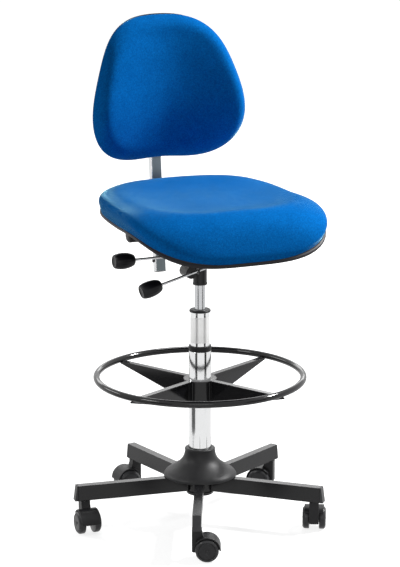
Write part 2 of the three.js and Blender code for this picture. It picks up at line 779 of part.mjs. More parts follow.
function leaned(geometry) {
  return geometry.applyMatrix4(uprightPlace);
}

function uprightBlock(grow, from, to) {
  const halfX = uprightWidth / 2 + grow;
  const halfY = uprightDepth / 2 + grow;
  return block(-halfX, halfX, -halfY, halfY, from, to);
}

function makeBackArm() {
  const guideTop = guideFrom + guideHeight;
  const guideCentreY = uprightFootY + (guideFrom + guideHeight / 2) * Math.sin(lean);
  const wallInner = -(uprightWidth / 2 + seatGap);
  const guideHalf = uprightWidth / 2 + guideWall;
  const strapHalf = armStrapWidth / 2;
  const strapBottom = pivotLevel - armStrapHeight / 2;
  add(chair, "back_arm", cut(
    joined(
      alongX(rod(knuckleRadius, -knuckleWidth / 2, knuckleWidth / 2, roundSides)).translate(0, pivotY, pivotLevel),
      block(-strapHalf, strapHalf, pivotY, guideCentreY, strapBottom, strapBottom + armStrapHeight),
      leaned(uprightBlock(guideWall, guideFrom, guideTop)),
    ),
    leaned(uprightBlock(seatGap, guideFrom - guideHeight, guideTop + overrun)),
    alongX(rod(pivotPinRadius + seatGap, -knuckleWidth, knuckleWidth, smallSides)).translate(0, pivotY, pivotLevel),
    leaned(alongX(rod(knobStudRadius + seatGap, -guideHalf - overrun, 0, smallSides)).translate(0, 0, knobAlong)),
  ), "blackSteel");
  const earOuter = knuckleWidth / 2 + springRadius / 2 + runGap + earWall;
  add(chair, "back_pivot_pin",
    alongX(rod(pivotPinRadius, -earOuter - earWall / 2, earOuter + earWall / 2, smallSides))
      .translate(0, pivotY, pivotLevel), "steel");
  const springFrom = knuckleWidth / 2 + seatGap;
  const springTo = knuckleWidth / 2 + springRadius / 2 + runGap - seatGap;
  add(chair, "back_spring",
    alongX(ring(pivotPinRadius + seatGap, springRadius, springFrom, springTo, smallSides))
      .translate(0, pivotY, pivotLevel), "steel");
  const upright = new THREE.Group();
  upright.applyMatrix4(uprightPlace);
  chair.add(upright);
  add(upright, "upright", cut(
    uprightBlock(0, 0, uprightLength),
    uprightBlock(-uprightWall, -overrun, uprightLength + overrun),
  ), "greySteel");
  const knobFace = -(guideHalf + knobStandOff);
  const rounded = knobRadius * knobRoundShare;
  add(upright, "height_knob", alongX(revolve([
    [0, knobFace - knobLength], [knobRadius - rounded, knobFace - knobLength],
    [knobRadius, knobFace - knobLength + rounded], [knobRadius, knobFace - rounded],
    [knobRadius - rounded, knobFace], [knobStudRadius * 2, knobFace],
    [knobStudRadius, knobFace + knobStudRadius], [knobStudRadius, wallInner], [0, wallInner],
  ], gripSides)).translate(0, 0, knobAlong), "blackPlastic");
  const stopFrom = -(uprightWidth / 2 + seatGap);
  add(upright, "stop_screw",
    alongX(rod(stopRadius, stopFrom - stopHeight, stopFrom, smallSides)).translate(0, 0, stopAlong), "blackSteel");
}

// Backrest: the outline is a rounded egg, wide below, and the panel curves round the sitter.
// Its distance from the middle is a mean radius with waves, evenly about the upright middle line.
function backRim(angle, share) {
  const fromTop = angle - Math.PI / 2;
  const shares = backWaveShares.map((wave, k) => wave * Math.cos(k * fromTop));
  const radius = backMeanRadius * share * shares.reduce((sum, wave) => sum + wave);
  return [radius * Math.cos(angle), backMiddleLevel + radius * Math.sin(angle)];
}

function backSurface(x, z) {
  const lumbar = Math.max(0, 1 - ((z - lumbarLevel) / lumbarReach) ** 2);
  return backRimY - lumbarDepth * lumbar - x * x / (2 * backCurveRadius);
}

function backRing(share, offset) {
  const points = [];
  for (let k = 0; k < backSides; k++) {
    const [x, z] = backRim(2 * Math.PI * k / backSides, share);
    points.push([x, backSurface(x, z) + offset, z]);
  }
  return points;
}

function backCentre(offset) {
  return [0, backSurface(0, backMiddleLevel) + offset, backMiddleLevel];
}

function makeBackrest() {
  const behind = backShellBehindRim;
  const shellFront = behind - backShellWall;
  const rings = (shares, offset) => shares.map((share) => backRing(share, offset));
  const shell = loft(backCentre(behind), [
    ...rings(backInnerShares, behind),
    ...backShellRimShares.map(([share, depth]) => backRing(share, behind - backShellWall * depth)),
    backRing(backShellEdgeShare, shellFront), backRing(backPanelShare, shellFront),
    ...rings(backInnerShares, shellFront).reverse(),
  ], backCentre(shellFront));
  add(chair, "backrest_shell", shell, "blackPlastic");
  const cushionBack = shellFront - seatGap;
  const front = backCushionFront;
  const [sideShare, sideDepthShare] = backSideShares;
  add(chair, "backrest_cushion", loft(backCentre(cushionBack), [
    ...rings(backInnerShares, cushionBack), backRing(backPanelShare, cushionBack),
    backRing(sideShare, cushionBack * sideDepthShare),
    ...backFrontShares.map(([share, depth]) => backRing(share, -front * depth)),
  ], backCentre(-front)), "fabric");
  const uprightAt = (z) => uprightFootY + (z - uprightFootLevel) * Math.tan(lean);
  const level = lumbarLevel;
  const plateFront = backSurface(0, level) + behind;
  const plateHalf = bracketPlateWidth / 2;
  const blockHalf = bracketBlockWidth / 2;
  const rise = bracketPlateHeight / 2;
  const blockRise = bracketBlockHeight / 2;
  const blockRear = uprightAt(level) - uprightDepth / 2 + bracketGrip;
  add(chair, "backrest_bracket", cut(
    joined(
      block(-plateHalf, plateHalf, plateFront, plateFront + 2 * bracketPlateWall, level - rise, level + rise),
      block(-blockHalf, blockHalf, plateFront + bracketPlateWall, blockRear, level - blockRise, level + blockRise),
    ),
    leaned(uprightBlock(seatGap, -overrun, uprightLength + overrun)),
    shell.clone().translate(0, seatGap, 0),
  ), "blackSteel");
}

// Seat: the outline is a rounded square that is wider in front, and its edge falls at the front
function seatRim(angle, share) {
  const c = Math.cos(angle);
  const s = Math.sin(angle);
  const power = s > 0 ? seatPowerRear : seatPowerFront;
  const radius = (Math.abs(c) ** power + Math.abs(s) ** power) ** (-1 / power) * share;
  const along = radius * s;
  return [radius * c * (1 - seatTaper * along), along];
}

function seatEdgeLevel(across, along) {
  const front = Math.max(0, -along) ** seatDropPower;
  const side = across * across * (1 - Math.max(0, -along));
  return seatTrimLevel + seatRiseRear * along - seatFrontDrop * front - seatSideDrop * side;
}

function seatPoint(angle, share, height) {
  const [across, along] = seatRim(angle, share);
  return [across * seatWidth / 2, along * seatLength / 2 - seatForward, height(across, along, share)];
}

function seatRing(share, height) {
  const points = [];
  for (let k = 0; k < seatSides; k++) points.push(seatPoint(2 * Math.PI * k / seatSides, share, height));
  return points;
}

function panLevel(across, along, share) {
  const rise = Math.max(0, (share - seatPanFlatShare) / (1 - seatPanFlatShare));
  const weight = Math.min(1, rise ** seatPanPower);
  return panBottom + (seatEdgeLevel(across, along) - panBottom) * weight;
}

function crownLevel(across, along, share) {
  const crown = seatCushionRise * (1 - seatCrownFallShare * share ** seatCrownPower);
  const offCentre = Math.hypot(across, along - seatDishCentreShare) / seatDishReachShare;
  const dish = seatDish * Math.max(0, 1 - offCentre ** 2);
  return seatEdgeLevel(across, along) + crown - dish;
}

function makeSeat() {
  const above = (rise) => (across, along, share) => panLevel(across, along, share) + rise;
  const edge = (rise) => (across, along) => seatEdgeLevel(across, along) + rise;
  const centre = (height) => seatPoint(0, 0, height);
  const wall = seatPanWall;
  const rings = (shares, height) => shares.map((share) => seatRing(share, height));
  const [lipInnerShare, lipFootShare] = seatLipShares;
  add(chair, "seat_shell", loft(centre(above(0)), [
    ...rings(seatPanShares, above(0)), seatRing(seatPanOuterShare, above(0)),
    seatRing(1, edge(wall / 2)), seatRing(1, edge(seatLip)), seatRing(lipInnerShare, edge(seatLip)),
    seatRing(lipFootShare, edge(wall)), seatRing(seatPanInnerShare, above(wall)),
    ...rings(seatPanShares, above(wall)).reverse(),
  ], centre(above(wall))), "blackPlastic");
  const bottom = wall + seatGap;
  const lipTop = seatLip + 2 * seatGap;
  const rise = seatCushionRise;
  add(chair, "seat_cushion", loft(centre(above(bottom)), [
    ...rings(seatPanShares, above(bottom)), seatRing(seatPanInnerShare, above(bottom)),
    seatRing(seatPadFootShare, edge(bottom + seatGap)), seatRing(lipFootShare, edge(lipTop)),
    seatRing(seatOverhangShare, edge(lipTop)),
    ...seatSideShares.map(([share, height]) => seatRing(share, edge(lipTop + rise * height))),
    ...seatShoulderShares.map(([share, height]) => seatRing(share, edge(rise * height))),
    ...rings(seatCrownShares, crownLevel),
  ], centre(crownLevel)), "fabric");
}

makeBase();
makeHubCover();
makeColumn();
makeFootRing();
makeMechanism();
makeLevers();
makeBackArm();
makeBackrest();
makeSeat();

export default part;
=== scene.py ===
"""Looks of a high swivel work chair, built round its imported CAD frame.

Shapes are written in millimetres in the chair's own directions (+Z up, the sitter faces -Y, the
column on the axis) and turned into the frame's metres when a mesh is made.
"""
import math

import bmesh
import bpy
import numpy as np
from mathutils import Matrix, Vector
from mathutils.kdtree import KDTree


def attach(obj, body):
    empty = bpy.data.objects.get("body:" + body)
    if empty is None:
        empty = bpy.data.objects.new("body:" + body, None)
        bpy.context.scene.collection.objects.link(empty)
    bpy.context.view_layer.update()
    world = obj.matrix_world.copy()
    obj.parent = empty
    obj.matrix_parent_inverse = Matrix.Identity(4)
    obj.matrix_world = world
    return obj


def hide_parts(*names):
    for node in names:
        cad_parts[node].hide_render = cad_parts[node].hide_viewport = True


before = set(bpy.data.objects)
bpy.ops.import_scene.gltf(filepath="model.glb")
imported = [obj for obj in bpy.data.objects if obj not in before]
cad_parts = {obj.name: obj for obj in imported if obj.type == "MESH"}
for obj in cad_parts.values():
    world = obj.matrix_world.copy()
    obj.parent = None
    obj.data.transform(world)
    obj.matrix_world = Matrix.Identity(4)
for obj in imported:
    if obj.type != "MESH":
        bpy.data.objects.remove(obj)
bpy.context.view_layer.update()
scene = bpy.context.scene

MM = 0.001
COLUMN = (18.0, -4.0)
CHAIR = Matrix.Translation((COLUMN[0], COLUMN[1], 0))

# Camera, at the photograph's place, in millimetres and degrees
CAMERA_DISTANCE = 5600.0
CAMERA_TURN = 24.5
CAMERA_HEIGHT = 1940.0
CAMERA_TILT = 13.21
CAMERA_LENS = 144.11
SENSOR_WIDTH = 36
CLIP_END_M = 100


def make_camera():
    data = bpy.data.cameras.new("camera")
    data.sensor_width = SENSOR_WIDTH
    data.lens = CAMERA_LENS
    data.clip_end = CLIP_END_M
    camera = bpy.data.objects.new("camera", data)
    turn = math.radians(CAMERA_TURN)
    camera.location = (
        (COLUMN[0] - CAMERA_DISTANCE * math.sin(turn)) * MM,
        (COLUMN[1] - CAMERA_DISTANCE * math.cos(turn)) * MM,
        CAMERA_HEIGHT * MM,
    )
    camera.rotation_euler = (math.radians(90 - CAMERA_TILT), 0, -turn)
    scene.collection.objects.link(camera)
    scene.camera = camera


# Materials
class Shader:
    """A Principled material with short calls for its texture nodes."""

    def __init__(self, name, color, roughness, metallic=0.0):
        self.material = bpy.data.materials.new(name)
        self.material.use_nodes = True
        self.tree = self.material.node_tree
        self.bsdf = self.tree.nodes["Principled BSDF"]
        self.set("Base Color", (*color, 1))
        self.set("Roughness", roughness)
        self.set("Metallic", metallic)
        self.place = self.add("ShaderNodeTexCoord").outputs["Object"]

    def add(self, kind, **values):
        node = self.tree.nodes.new(kind)
        for key, value in values.items():
            setattr(node, key, value)
        return node

    def set(self, socket, value):
        self.bsdf.inputs[socket].default_value = value

    def link(self, output, socket):
        self.tree.links.new(output, socket)

    def to(self, output, socket):
        self.link(output, self.bsdf.inputs[socket])

    def scaled(self, scale):
        node = self.add("ShaderNodeMapping")
        self.link(self.place, node.inputs["Vector"])
        node.inputs["Scale"].default_value = scale
        return node.outputs["Vector"]

    def noise(self, scale, detail, roughness, place=None):
        node = self.add("ShaderNodeTexNoise")
        self.link(place or self.place, node.inputs["Vector"])
        node.inputs["Scale"].default_value = scale
        node.inputs["Detail"].default_value = detail
        node.inputs["Roughness"].default_value = roughness
        return node.outputs["Fac"]

    def cells(self, scale, feature="F1"):
        node = self.add("ShaderNodeTexVoronoi", feature=feature)
        self.link(self.place, node.inputs["Vector"])
        node.inputs["Scale"].default_value = scale
        return node.outputs["Distance"]

    def math(self, operation, a, b=0.0):
        node = self.add("ShaderNodeMath", operation=operation)
        for socket, value in zip(node.inputs, (a, b)):
            if isinstance(value, (int, float)):
                socket.default_value = value
            else:
                self.link(value, socket)
        return node.outputs[0]

    def spread(self, value, low, high, start=0.0, end=1.0):
        node = self.add("ShaderNodeMapRange")
        self.link(value, node.inputs["Value"])
        numbers = (("From Min", start), ("From Max", end), ("To Min", low), ("To Max", high))
        for socket, number in numbers:
            node.inputs[socket].default_value = number
        return node.outputs["Result"]

    def ramp(self, value, *stops):
        node = self.add("ShaderNodeValToRGB")
        elements = node.color_ramp.elements
        for element, (position, color) in zip(elements, stops):
            element.position = position
            element.color = (*color, 1)
        self.link(value, node.inputs["Fac"])
        return node.outputs["Color"]

    def mix(self, share, first, second, blend="MIX"):
        node = self.add("ShaderNodeMix", data_type="RGBA", blend_type=blend)
        for number, value in ((0, share), (6, first), (7, second)):
            socket = node.inputs[number]
            if isinstance(value, (int, float)):
                socket.default_value = value
            elif isinstance(value, tuple):
                socket.default_value = (*value, 1)
            else:
                self.link(value, socket)
        return node.outputs[2]

    def bump(self, height, strength, distance):
        node = self.add("ShaderNodeBump")
        self.link(height, node.inputs["Height"])
        node.inputs["Strength"].default_value = strength
        node.inputs["Distance"].default_value = distance
        self.to(node.outputs["Normal"], "Normal")

    def edges(self, low=0.52, high=0.62):
        geometry = self.add("ShaderNodeNewGeometry")
        return self.spread(geometry.outputs["Pointiness"], 0.0, 1.0, low, high)


def shade(color, factor):
    return tuple(c * factor for c in color)


WEAVE_PITCH = 0.0022
PLASTIC_IOR = 1.32
PAINT_IOR = 1.42
SMUDGE = 0.05


def woven_fabric():
    """Wool-like cloth: threads from three sides, pebbled, fuzzy and mottled, with painted shade in
    the hollows of its relief and a painted highlight on its tops.
    """
    s = Shader("fabric_blue", (0.003, 0.12, 0.42), 0.88)
    s.set("Sheen Weight", 1.0)
    s.set("Sheen Roughness", 0.22)
    s.set("Sheen Tint", (0.42, 0.9, 1, 1))
    s.set("Specular IOR Level", 0.0)
    axes = s.add("ShaderNodeSeparateXYZ")
    s.link(s.place, axes.inputs[0])
    normal = s.add("ShaderNodeSeparateXYZ")
    s.link(s.add("ShaderNodeTexCoord").outputs["Normal"], normal.inputs[0])
    threads = 2 * math.pi / WEAVE_PITCH
    waves = [s.math("SINE", s.math("MULTIPLY", axes.outputs[k], threads)) for k in range(3)]
    weights = [s.math("POWER", s.math("ABSOLUTE", normal.outputs[k]), 3.0) for k in range(3)]
    total = s.math("ADD", s.math("ADD", weights[0], weights[1]), weights[2])
    weave = None
    for k in range(3):
        product = s.math("MULTIPLY", waves[(k + 1) % 3], waves[(k + 2) % 3])
        part = s.math("MULTIPLY", product, s.math("DIVIDE", weights[k], total))
        weave = part if weave is None else s.math("ADD", weave, part)
    pebble = s.cells(430.0, "SMOOTH_F1")
    fuzz = s.noise(900.0, 3.0, 0.7)
    height = s.math("ADD", s.math("MULTIPLY", weave, 0.5), s.math("MULTIPLY", pebble, 0.9))
    height = s.math("ADD", height, s.math("MULTIPLY", fuzz, 0.5))
    patches = s.noise(14.0, 4.0, 0.6)
    mottle = s.noise(240.0, 3.0, 0.65)
    base = s.ramp(patches, (0.3, (0.002, 0.125, 0.44)), (0.7, (0.003, 0.145, 0.5)))
    tone = s.ramp(mottle, (0.3, (0.68, 0.73, 0.78)), (0.7, (1.28, 1.23, 1.17)))
    color = s.mix(1.0, base, tone, "MULTIPLY")
    # Colour darker in the relief's hollows and lighter on its tops: painted shade and painted
    # highlight on the threads and pebbles.
    relief = s.spread(height, 0.0, 1.0, -0.1, 1.2)
    relief_shade = s.ramp(relief, (0.15, (0.74, 0.78, 0.82)), (0.75, (1.12, 1.1, 1.08)))
    s.to(s.mix(1.0, color, relief_shade, "MULTIPLY"), "Base Color")
    s.to(s.spread(fuzz, 0.8, 0.95), "Roughness")
    s.bump(height, 0.55, 0.0006)
    return s.material


def plastic(name, color, roughness, grain=0.35, wear=0.5, size=1500.0):
    """Moulded plastic with a fine grain, cloudy gloss and paler, rubbed edges."""
    s = Shader(name, color, roughness)
    s.set("IOR", PLASTIC_IOR)
    fine = s.noise(size, 3.0, 0.6)
    broad = s.noise(22.0, 3.0, 0.55)
    tone = s.ramp(broad, (0.3, shade(color, 0.8)), (0.75, shade(color, 1.25)))
    rubbed = tuple(c * 2 + 0.006 for c in color)
    s.to(s.mix(s.math("MULTIPLY", s.edges(), wear), tone, rubbed), "Base Color")
    s.to(s.spread(broad, roughness - 0.07, roughness + 0.09), "Roughness")
    s.bump(s.math("ADD", fine, s.cells(size * 0.6)), grain, 0.00018)
    return s.material


def black_paint(name, roughness, peeling):
    """Black powder paint with a little orange peel and greyer edges."""
    color = (0.006, 0.006, 0.007)
    s = Shader(name, color, roughness)
    s.set("IOR", PAINT_IOR)
    peel = s.noise(260.0, 2.0, 0.5)
    broad = s.noise(9.0, 4.0, 0.6)
    tone = s.ramp(broad, (0.3, shade(color, 0.82)), (0.75, shade(color, 1.2)))
    worn = s.mix(s.math("MULTIPLY", s.edges(0.54, 0.66), 0.45), tone, (0.05, 0.05, 0.052))
    s.to(worn, "Base Color")
    smears = s.noise(45.0, 4.0, 0.65)
    s.to(s.spread(smears, roughness * 0.85, roughness * 1.25), "Roughness")
    s.bump(peel, peeling, 0.0004)
    return s.material


def metal(name, color, roughness, brushed=(60.0, 60.0, 60.0), lines=0.12):
    """Bare metal, brushed as finely as the scale along each axis says, with faint smudges."""
    s = Shader(name, color, roughness, 1.0)
    brushing = s.noise(1.0, 4.0, 0.6, s.scaled(brushed))
    smears = s.noise(16.0, 4.0, 0.6)
    s.to(s.ramp(brushing, (0.25, shade(color, 1 - lines)), (0.75, color)), "Base Color")
    smudged = s.spread(smears, roughness, roughness + SMUDGE)
    s.to(s.math("ADD", smudged, s.spread(brushing, 0.0, lines * 0.3)), "Roughness")
    s.bump(brushing, lines * 0.5, 0.0001)
    return s.material


def plain_label():
    s = Shader("label_silver", (0.86, 0.86, 0.85), 0.3, 0.75)
    cloud = s.noise(30.0, 3.0, 0.5)
    s.to(s.ramp(cloud, (0.3, (0.82, 0.82, 0.81)), (0.7, (0.9, 0.9, 0.895))), "Base Color")
    s.bump(s.noise(700.0, 2.0, 0.5), 0.05, 0.0001)
    return s.material


def make_materials():
    ground, plated = (20.0, 20.0, 900.0), (500.0, 500.0, 12.0)
    return {
        "fabric": woven_fabric(),
        "plastic": plastic("plastic_black", (0.009, 0.009, 0.01), 0.45),
        "cone": plastic("plastic_cone", (0.016, 0.016, 0.017), 0.42, grain=0.5),
        "grip": plastic("plastic_grip", (0.005, 0.005, 0.007), 0.36, grain=0.25),
        "trim": plastic("edge_trim", (0.012, 0.011, 0.014), 0.45, grain=0.2),
        "shell": plastic("plastic_shell", (0.02, 0.02, 0.022), 0.55, 0.6, 0.4, 900.0),
        "hood": plastic("castor_hood", (0.012, 0.012, 0.013), 0.4),
        "wheel": plastic("castor_wheel", (0.028, 0.028, 0.03), 0.3, grain=0.15),
        "tyre": plastic("castor_tyre", (0.042, 0.042, 0.044), 0.27, grain=0.15, wear=0.7),
        "cap": plastic("arm_cap", (0.05, 0.05, 0.052), 0.4, grain=0.3),
        "arm": black_paint("steel_arm", 0.24, 0.06),
        "ring": black_paint("steel_ring", 0.1, 0.0),
        "frame": black_paint("steel_black", 0.34, 0.12),
        "chrome": metal("chrome", (0.83, 0.835, 0.84), 0.08, lines=0.03),
        "ground": metal("steel_ground", (0.62, 0.63, 0.645), 0.16, ground),
        "zinc": metal("steel_zinc", (0.7, 0.71, 0.72), 0.3, (300.0, 300.0, 300.0), 0.15),
        "plated": metal("steel_plated", (0.78, 0.79, 0.8), 0.16, plated, 0.1),
        # A darker, duller grey copy of the upright's steel for its front and back faces: painted
        # shade.
        "upright_shaded_faces": metal("steel_grey_painted_shade", (0.2, 0.235, 0.25), 0.36, (400.0, 400.0, 15.0), 0.18),
        "label": plain_label(),
    }


# Mesh helpers. A skin is (points, faces): points in millimetres, faces as tuples of their numbers.
CORE = 0.01          # inner radius of a turned piece that has no bore
ON_AXIS = 1e-6       # a smaller radius in a profile is one point on the axis
CORNER_STEPS = 3
SAME_POINT_M = 0.00002
FLAT_ANGLE, EDGE_ANGLE = 0.6, 30.0


def smooth(mesh, angle):
    mesh.polygons.foreach_set("use_smooth", [True] * len(mesh.polygons))
    mesh.set_sharp_from_angle(angle=math.radians(angle))


def piece(name, skins, body, slot, look, node=None, place=CHAIR, angle=35.0):
    """One object made of closed skins, which stands for a CAD node where one is given."""
    points, faces = [], []
    for skin_points, skin_faces in skins:
        start = len(points)
        points.extend(tuple((place @ Vector(p)) * MM) for p in skin_points)
        faces.extend(tuple(start + k for k in face) for face in skin_faces)
    mesh = bpy.data.meshes.new(name)
    mesh.from_pydata(points, [], faces)
    bm = bmesh.new()
    bm.from_mesh(mesh)
    bmesh.ops.recalc_face_normals(bm, faces=bm.faces)
    bm.to_mesh(mesh)
    bm.free()
    smooth(mesh, angle)
    return settle(bpy.data.objects.new(name, mesh), body, slot, look, node)


def settle(made, body, slot, look, node):
    scene.collection.objects.link(made)
    made.data.materials.clear()
    made.data.materials.append(MATERIALS[look])
    if node:
        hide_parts(node)
    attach(made, body)
    return made


def bevel(made, width, segments):
    modifier = made.modifiers.new("bevel", "BEVEL")
    modifier.width = width * MM
    modifier.segments = segments
    modifier.limit_method = "ANGLE"
    modifier.angle_limit = math.radians(EDGE_ANGLE)
    modifier.harden_normals = True
    modifier.use_clamp_overlap = True


def dressed(node, body, slot, look, width, segments):
    """A CAD node's solid with its flat faces made whole and its edges rounded."""
    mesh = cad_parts[node].data.copy()
    bm = bmesh.new()
    bm.from_mesh(mesh)
    bmesh.ops.remove_doubles(bm, verts=bm.verts, dist=SAME_POINT_M)
    flat = math.radians(FLAT_ANGLE)
    bmesh.ops.dissolve_limit(bm, angle_limit=flat, verts=bm.verts, edges=bm.edges)
    bmesh.ops.recalc_face_normals(bm, faces=bm.faces)
    bm.to_mesh(mesh)
    bm.free()
    if mesh.has_custom_normals:
        mesh.normals_split_custom_set([(0, 0, 0)] * len(mesh.loops))
    smooth(mesh, EDGE_ANGLE)
    made = settle(bpy.data.objects.new(node + "_piece", mesh), body, slot, look, node)
    bevel(made, width, segments)


def lathe(profile, sides=96, closed=True):
    """A skin turned about Z through (radius, height) points. Closed, they are a ring's section."""
    points, rows = [], []
    for radius, height in profile:
        if radius < ON_AXIS:
            rows.append([len(points)])
            points.append((0.0, 0.0, height))
            continue
        rows.append(list(range(len(points), len(points) + sides)))
        for k in range(sides):
            turn = 2 * math.pi * k / sides
            points.append((radius * math.cos(turn), radius * math.sin(turn), height))
    faces = []
    for low, high in zip(rows, rows[1:] + rows[:1] if closed else rows[1:]):
        for k in range(sides):
            n = (k + 1) % sides
            if len(low) == 1:
                faces.append((low[0], high[n], high[k]))
            elif len(high) == 1:
                faces.append((low[k], low[n], high[0]))
            else:
                faces.append((low[k], low[n], high[n], high[k]))
    return points, faces


def rounded(profile, radius):
    """A closed (radius, height) profile with its corners rounded off."""
    made = []
    count = len(profile)
    for k, corner in enumerate(profile):
        corner = np.array(corner, float)
        before = np.array(profile[k - 1], float) - corner
        after = np.array(profile[(k + 1) % count], float) - corner
        reach = min(radius, np.linalg.norm(before) * 0.45, np.linalg.norm(after) * 0.45)
        start = corner + before / np.linalg.norm(before) * reach
        end = corner + after / np.linalg.norm(after) * reach
        for step in range(CORNER_STEPS + 1):
            t = step / CORNER_STEPS
            made.append(tuple((1 - t) ** 2 * start + 2 * t * (1 - t) * corner + t * t * end))
    return made


def tube(inner, outer, low, high, edge, sides):
    section = [(inner, low), (outer, low), (outer, high), (inner, high)]
    return lathe(rounded(section, edge), sides)


def pin(radius, low, high, edge, sides):
    return tube(CORE, radius, low, high, edge, sides)


def turned(skin, matrix):
    points, faces = skin
    return [tuple(matrix @ Vector(p)) for p in points], faces


def along_x(skin):
    return turned(skin, Matrix.Rotation(math.pi / 2, 4, "Y"))


def along_y(skin):
    return turned(skin, Matrix.Rotation(-math.pi / 2, 4, "X"))


def turn_z(degrees):
    return Matrix.Rotation(math.radians(degrees), 4, "Z")


def fluted(skin, count, depth, beyond, fade=0.0, power=1):
    """Lengthwise grooves in a turned skin where it is wider than a radius, deepening over fade."""
    points, faces = skin
    made = []
    for x, y, z in points:
        radius = math.hypot(x, y)
        if radius > beyond:
            full = min(1, (radius - beyond) / fade) if fade else 1
            wave = (0.5 - 0.5 * math.cos(count * math.atan2(y, x))) ** power
            share = (radius - depth * full * wave) / radius
            x, y = x * share, y * share
        made.append((x, y, z))
    return made, faces


def prism(outline, half):
    """An outline in X and Z, drawn out to both sides of Y = 0."""
    count = len(outline)
    points = [(x, -half, z) for x, z in outline] + [(x, half, z) for x, z in outline]
    faces = [tuple(range(count)), tuple(range(2 * count - 1, count - 1, -1))]
    faces += [(k, (k + 1) % count, count + (k + 1) % count, count + k) for k in range(count)]
    return points, faces


def arc(x, z, radius, start, end, steps):
    turns = [math.radians(start + (end - start) * k / steps) for k in range(steps + 1)]
    return [(x + radius * math.cos(t), z + radius * math.sin(t)) for t in turns]


def circle(radius, sides):
    turns = [2 * math.pi * k / sides for k in range(sides)]
    return [(radius * math.cos(t), radius * math.sin(t)) for t in turns]


def sweep(path, section, closed=False):
    """A skin with the same flat section all along a path, kept upright as far as it can be."""
    path = [Vector(p) for p in path]
    count, ring = len(path), len(section)
    points = []
    side = None
    for k, p in enumerate(path):
        before = path[k - 1] if (k or closed) else p
        after = path[(k + 1) % count] if (k + 1 < count or closed) else p
        ahead = (after - before).normalized()
        if side is None:
            side = ahead.cross(Vector((0, 0, 1)))
            side = (side if side.length > 0.1 else Vector((1, 0, 0))).normalized()
        side = (side - ahead * side.dot(ahead)).normalized()
        up = side.cross(ahead)
        points += [tuple(p + side * u + up * v) for u, v in section]
    faces = []
    for k in range(count if closed else count - 1):
        a, b = k * ring, ((k + 1) % count) * ring
        faces += [(a + j, a + (j + 1) % ring, b + (j + 1) % ring, b + j) for j in range(ring)]
    if not closed:
        faces += [tuple(range(ring)), tuple(range((count - 1) * ring, count * ring))]
    return points, faces


def loft(rings, start=None, end=None):
    """A skin through closed rings of equally many points, with a tip at each end where given."""
    count = len(rings[0])
    points = [p for ring in rings for p in ring]
    faces = []
    for level in range(len(rings) - 1):
        a, b = level * count, (level + 1) * count
        faces += [(a + k, a + (k + 1) % count, b + (k + 1) % count, b + k) for k in range(count)]
    for tip, level in ((start, 0), (end, len(rings) - 1)):
        if tip is None:
            continue
        points.append(tip)
        a = level * count
        faces += [(len(points) - 1, a + k, a + (k + 1) % count) for k in range(count)]
    return points, faces


def looped(rings):
    """A loft whose last ring is joined to its first."""
    points, faces = loft(rings)
    count = len(rings[0])
    last = len(points) - count
    faces += [(last + k, last + (k + 1) % count, (k + 1) % count, k) for k in range(count)]
    return points, faces


# Sizes that the scene shares with the CAD source, in millimetres, degrees and counts
ARMS, ARM_SPACING, FIRST_ARM = 5, 72, -115.9
ARM_TOP, ARM_BOTTOM, ARM_WIDTH = 120.0, 80.0, 22.0
STEM_REACH, CASTOR_TRAIL = 308.0, 25.0
CASTOR_TURNS = (91, 105, 112, 81, 95)
WHEEL_RADIUS, WHEEL_WIDTH, WHEEL_INNER, AXLE_BORE = 29.0, 18.5, 12.5, 3.5
COVER_FOOT, COVER_RISE, COVER_WALL = 120.3, 70.5, 2.5
COLUMN_FOOT, SLEEVE_TOP, TUBE_TOP = 74.3, 451, 553
CYLINDER_FOOT, CYLINDER_TOP = 250, 676.0
RING_RADIUS, RING_TUBE, RING_LEVEL = 264.5, 8.4, 383.0
SPOKES, SPOKE_SPACING, FIRST_SPOKE, SPOKE_LEVEL = 4, 90, -153.75, 378.0
LEVER_ROD, LEVER_WALL, LEVER_SLOPE = 3.5, -36.5, math.radians(14.5)
GAS_LEVER_Y, GAS_LEVER_REACH = -70.0, 139.3
BACK_LEVER_Y, BACK_LEVER_Z, BACK_LEVER_REACH = 40.0, 694.0, 161
GRIP_LENGTH, GRIP_SOCKET = 55, 34
FOOT_Y, FOOT_LEVEL, LEAN = 256.0, 606.0, math.radians(5.75)
UPRIGHT_LENGTH, UPRIGHT_WALL, UPRIGHT_CORNER = 519.97, 2.0, 3.0
UPRIGHT_HALF_X, UPRIGHT_HALF_Y = 15.0, 10.0
UPRIGHT = CHAIR @ Matrix.Translation((0, FOOT_Y, FOOT_LEVEL)) @ Matrix.Rotation(-LEAN, 4, "X")


def make_base():
    for k in range(ARMS):
        dressed(f"base_arm_{k + 1}", "base", "black_steel", "arm", 2.2, 4)
        dressed(f"arm_cap_{k + 1}", "base", "black_plastic", "cap", 1.2, 3)
        make_castor(k)
    hub = [(22.3, 71), (34.5, 71), (34.5, 124), (28.8, 124), (28.8, 74), (22.3, 74)]
    piece("base_hub_piece", [lathe(rounded(hub, 1.2))], "base", "black_steel", "arm", "base_hub")
    piece("hub_weld_collar", [tube(33, 37.2, 76, 79.4, 1.4, 96)], "base", "black_steel", "arm")
    beads = []
    levels = np.linspace(ARM_BOTTOM + 2, ARM_TOP - 2, 14)
    for k in range(ARMS):
        for side in (-1, 1):
            y = side * (ARM_WIDTH / 2 - 0.4)
            wavy = [(36.2 + 0.35 * math.sin(2.2 * n), y, z) for n, z in enumerate(levels)]
            beads.append(turned(sweep(wavy, circle(2.4, 12)), turn_z(FIRST_ARM + ARM_SPACING * k)))
    piece("hub_welds", beads, "base", "black_steel", "arm")


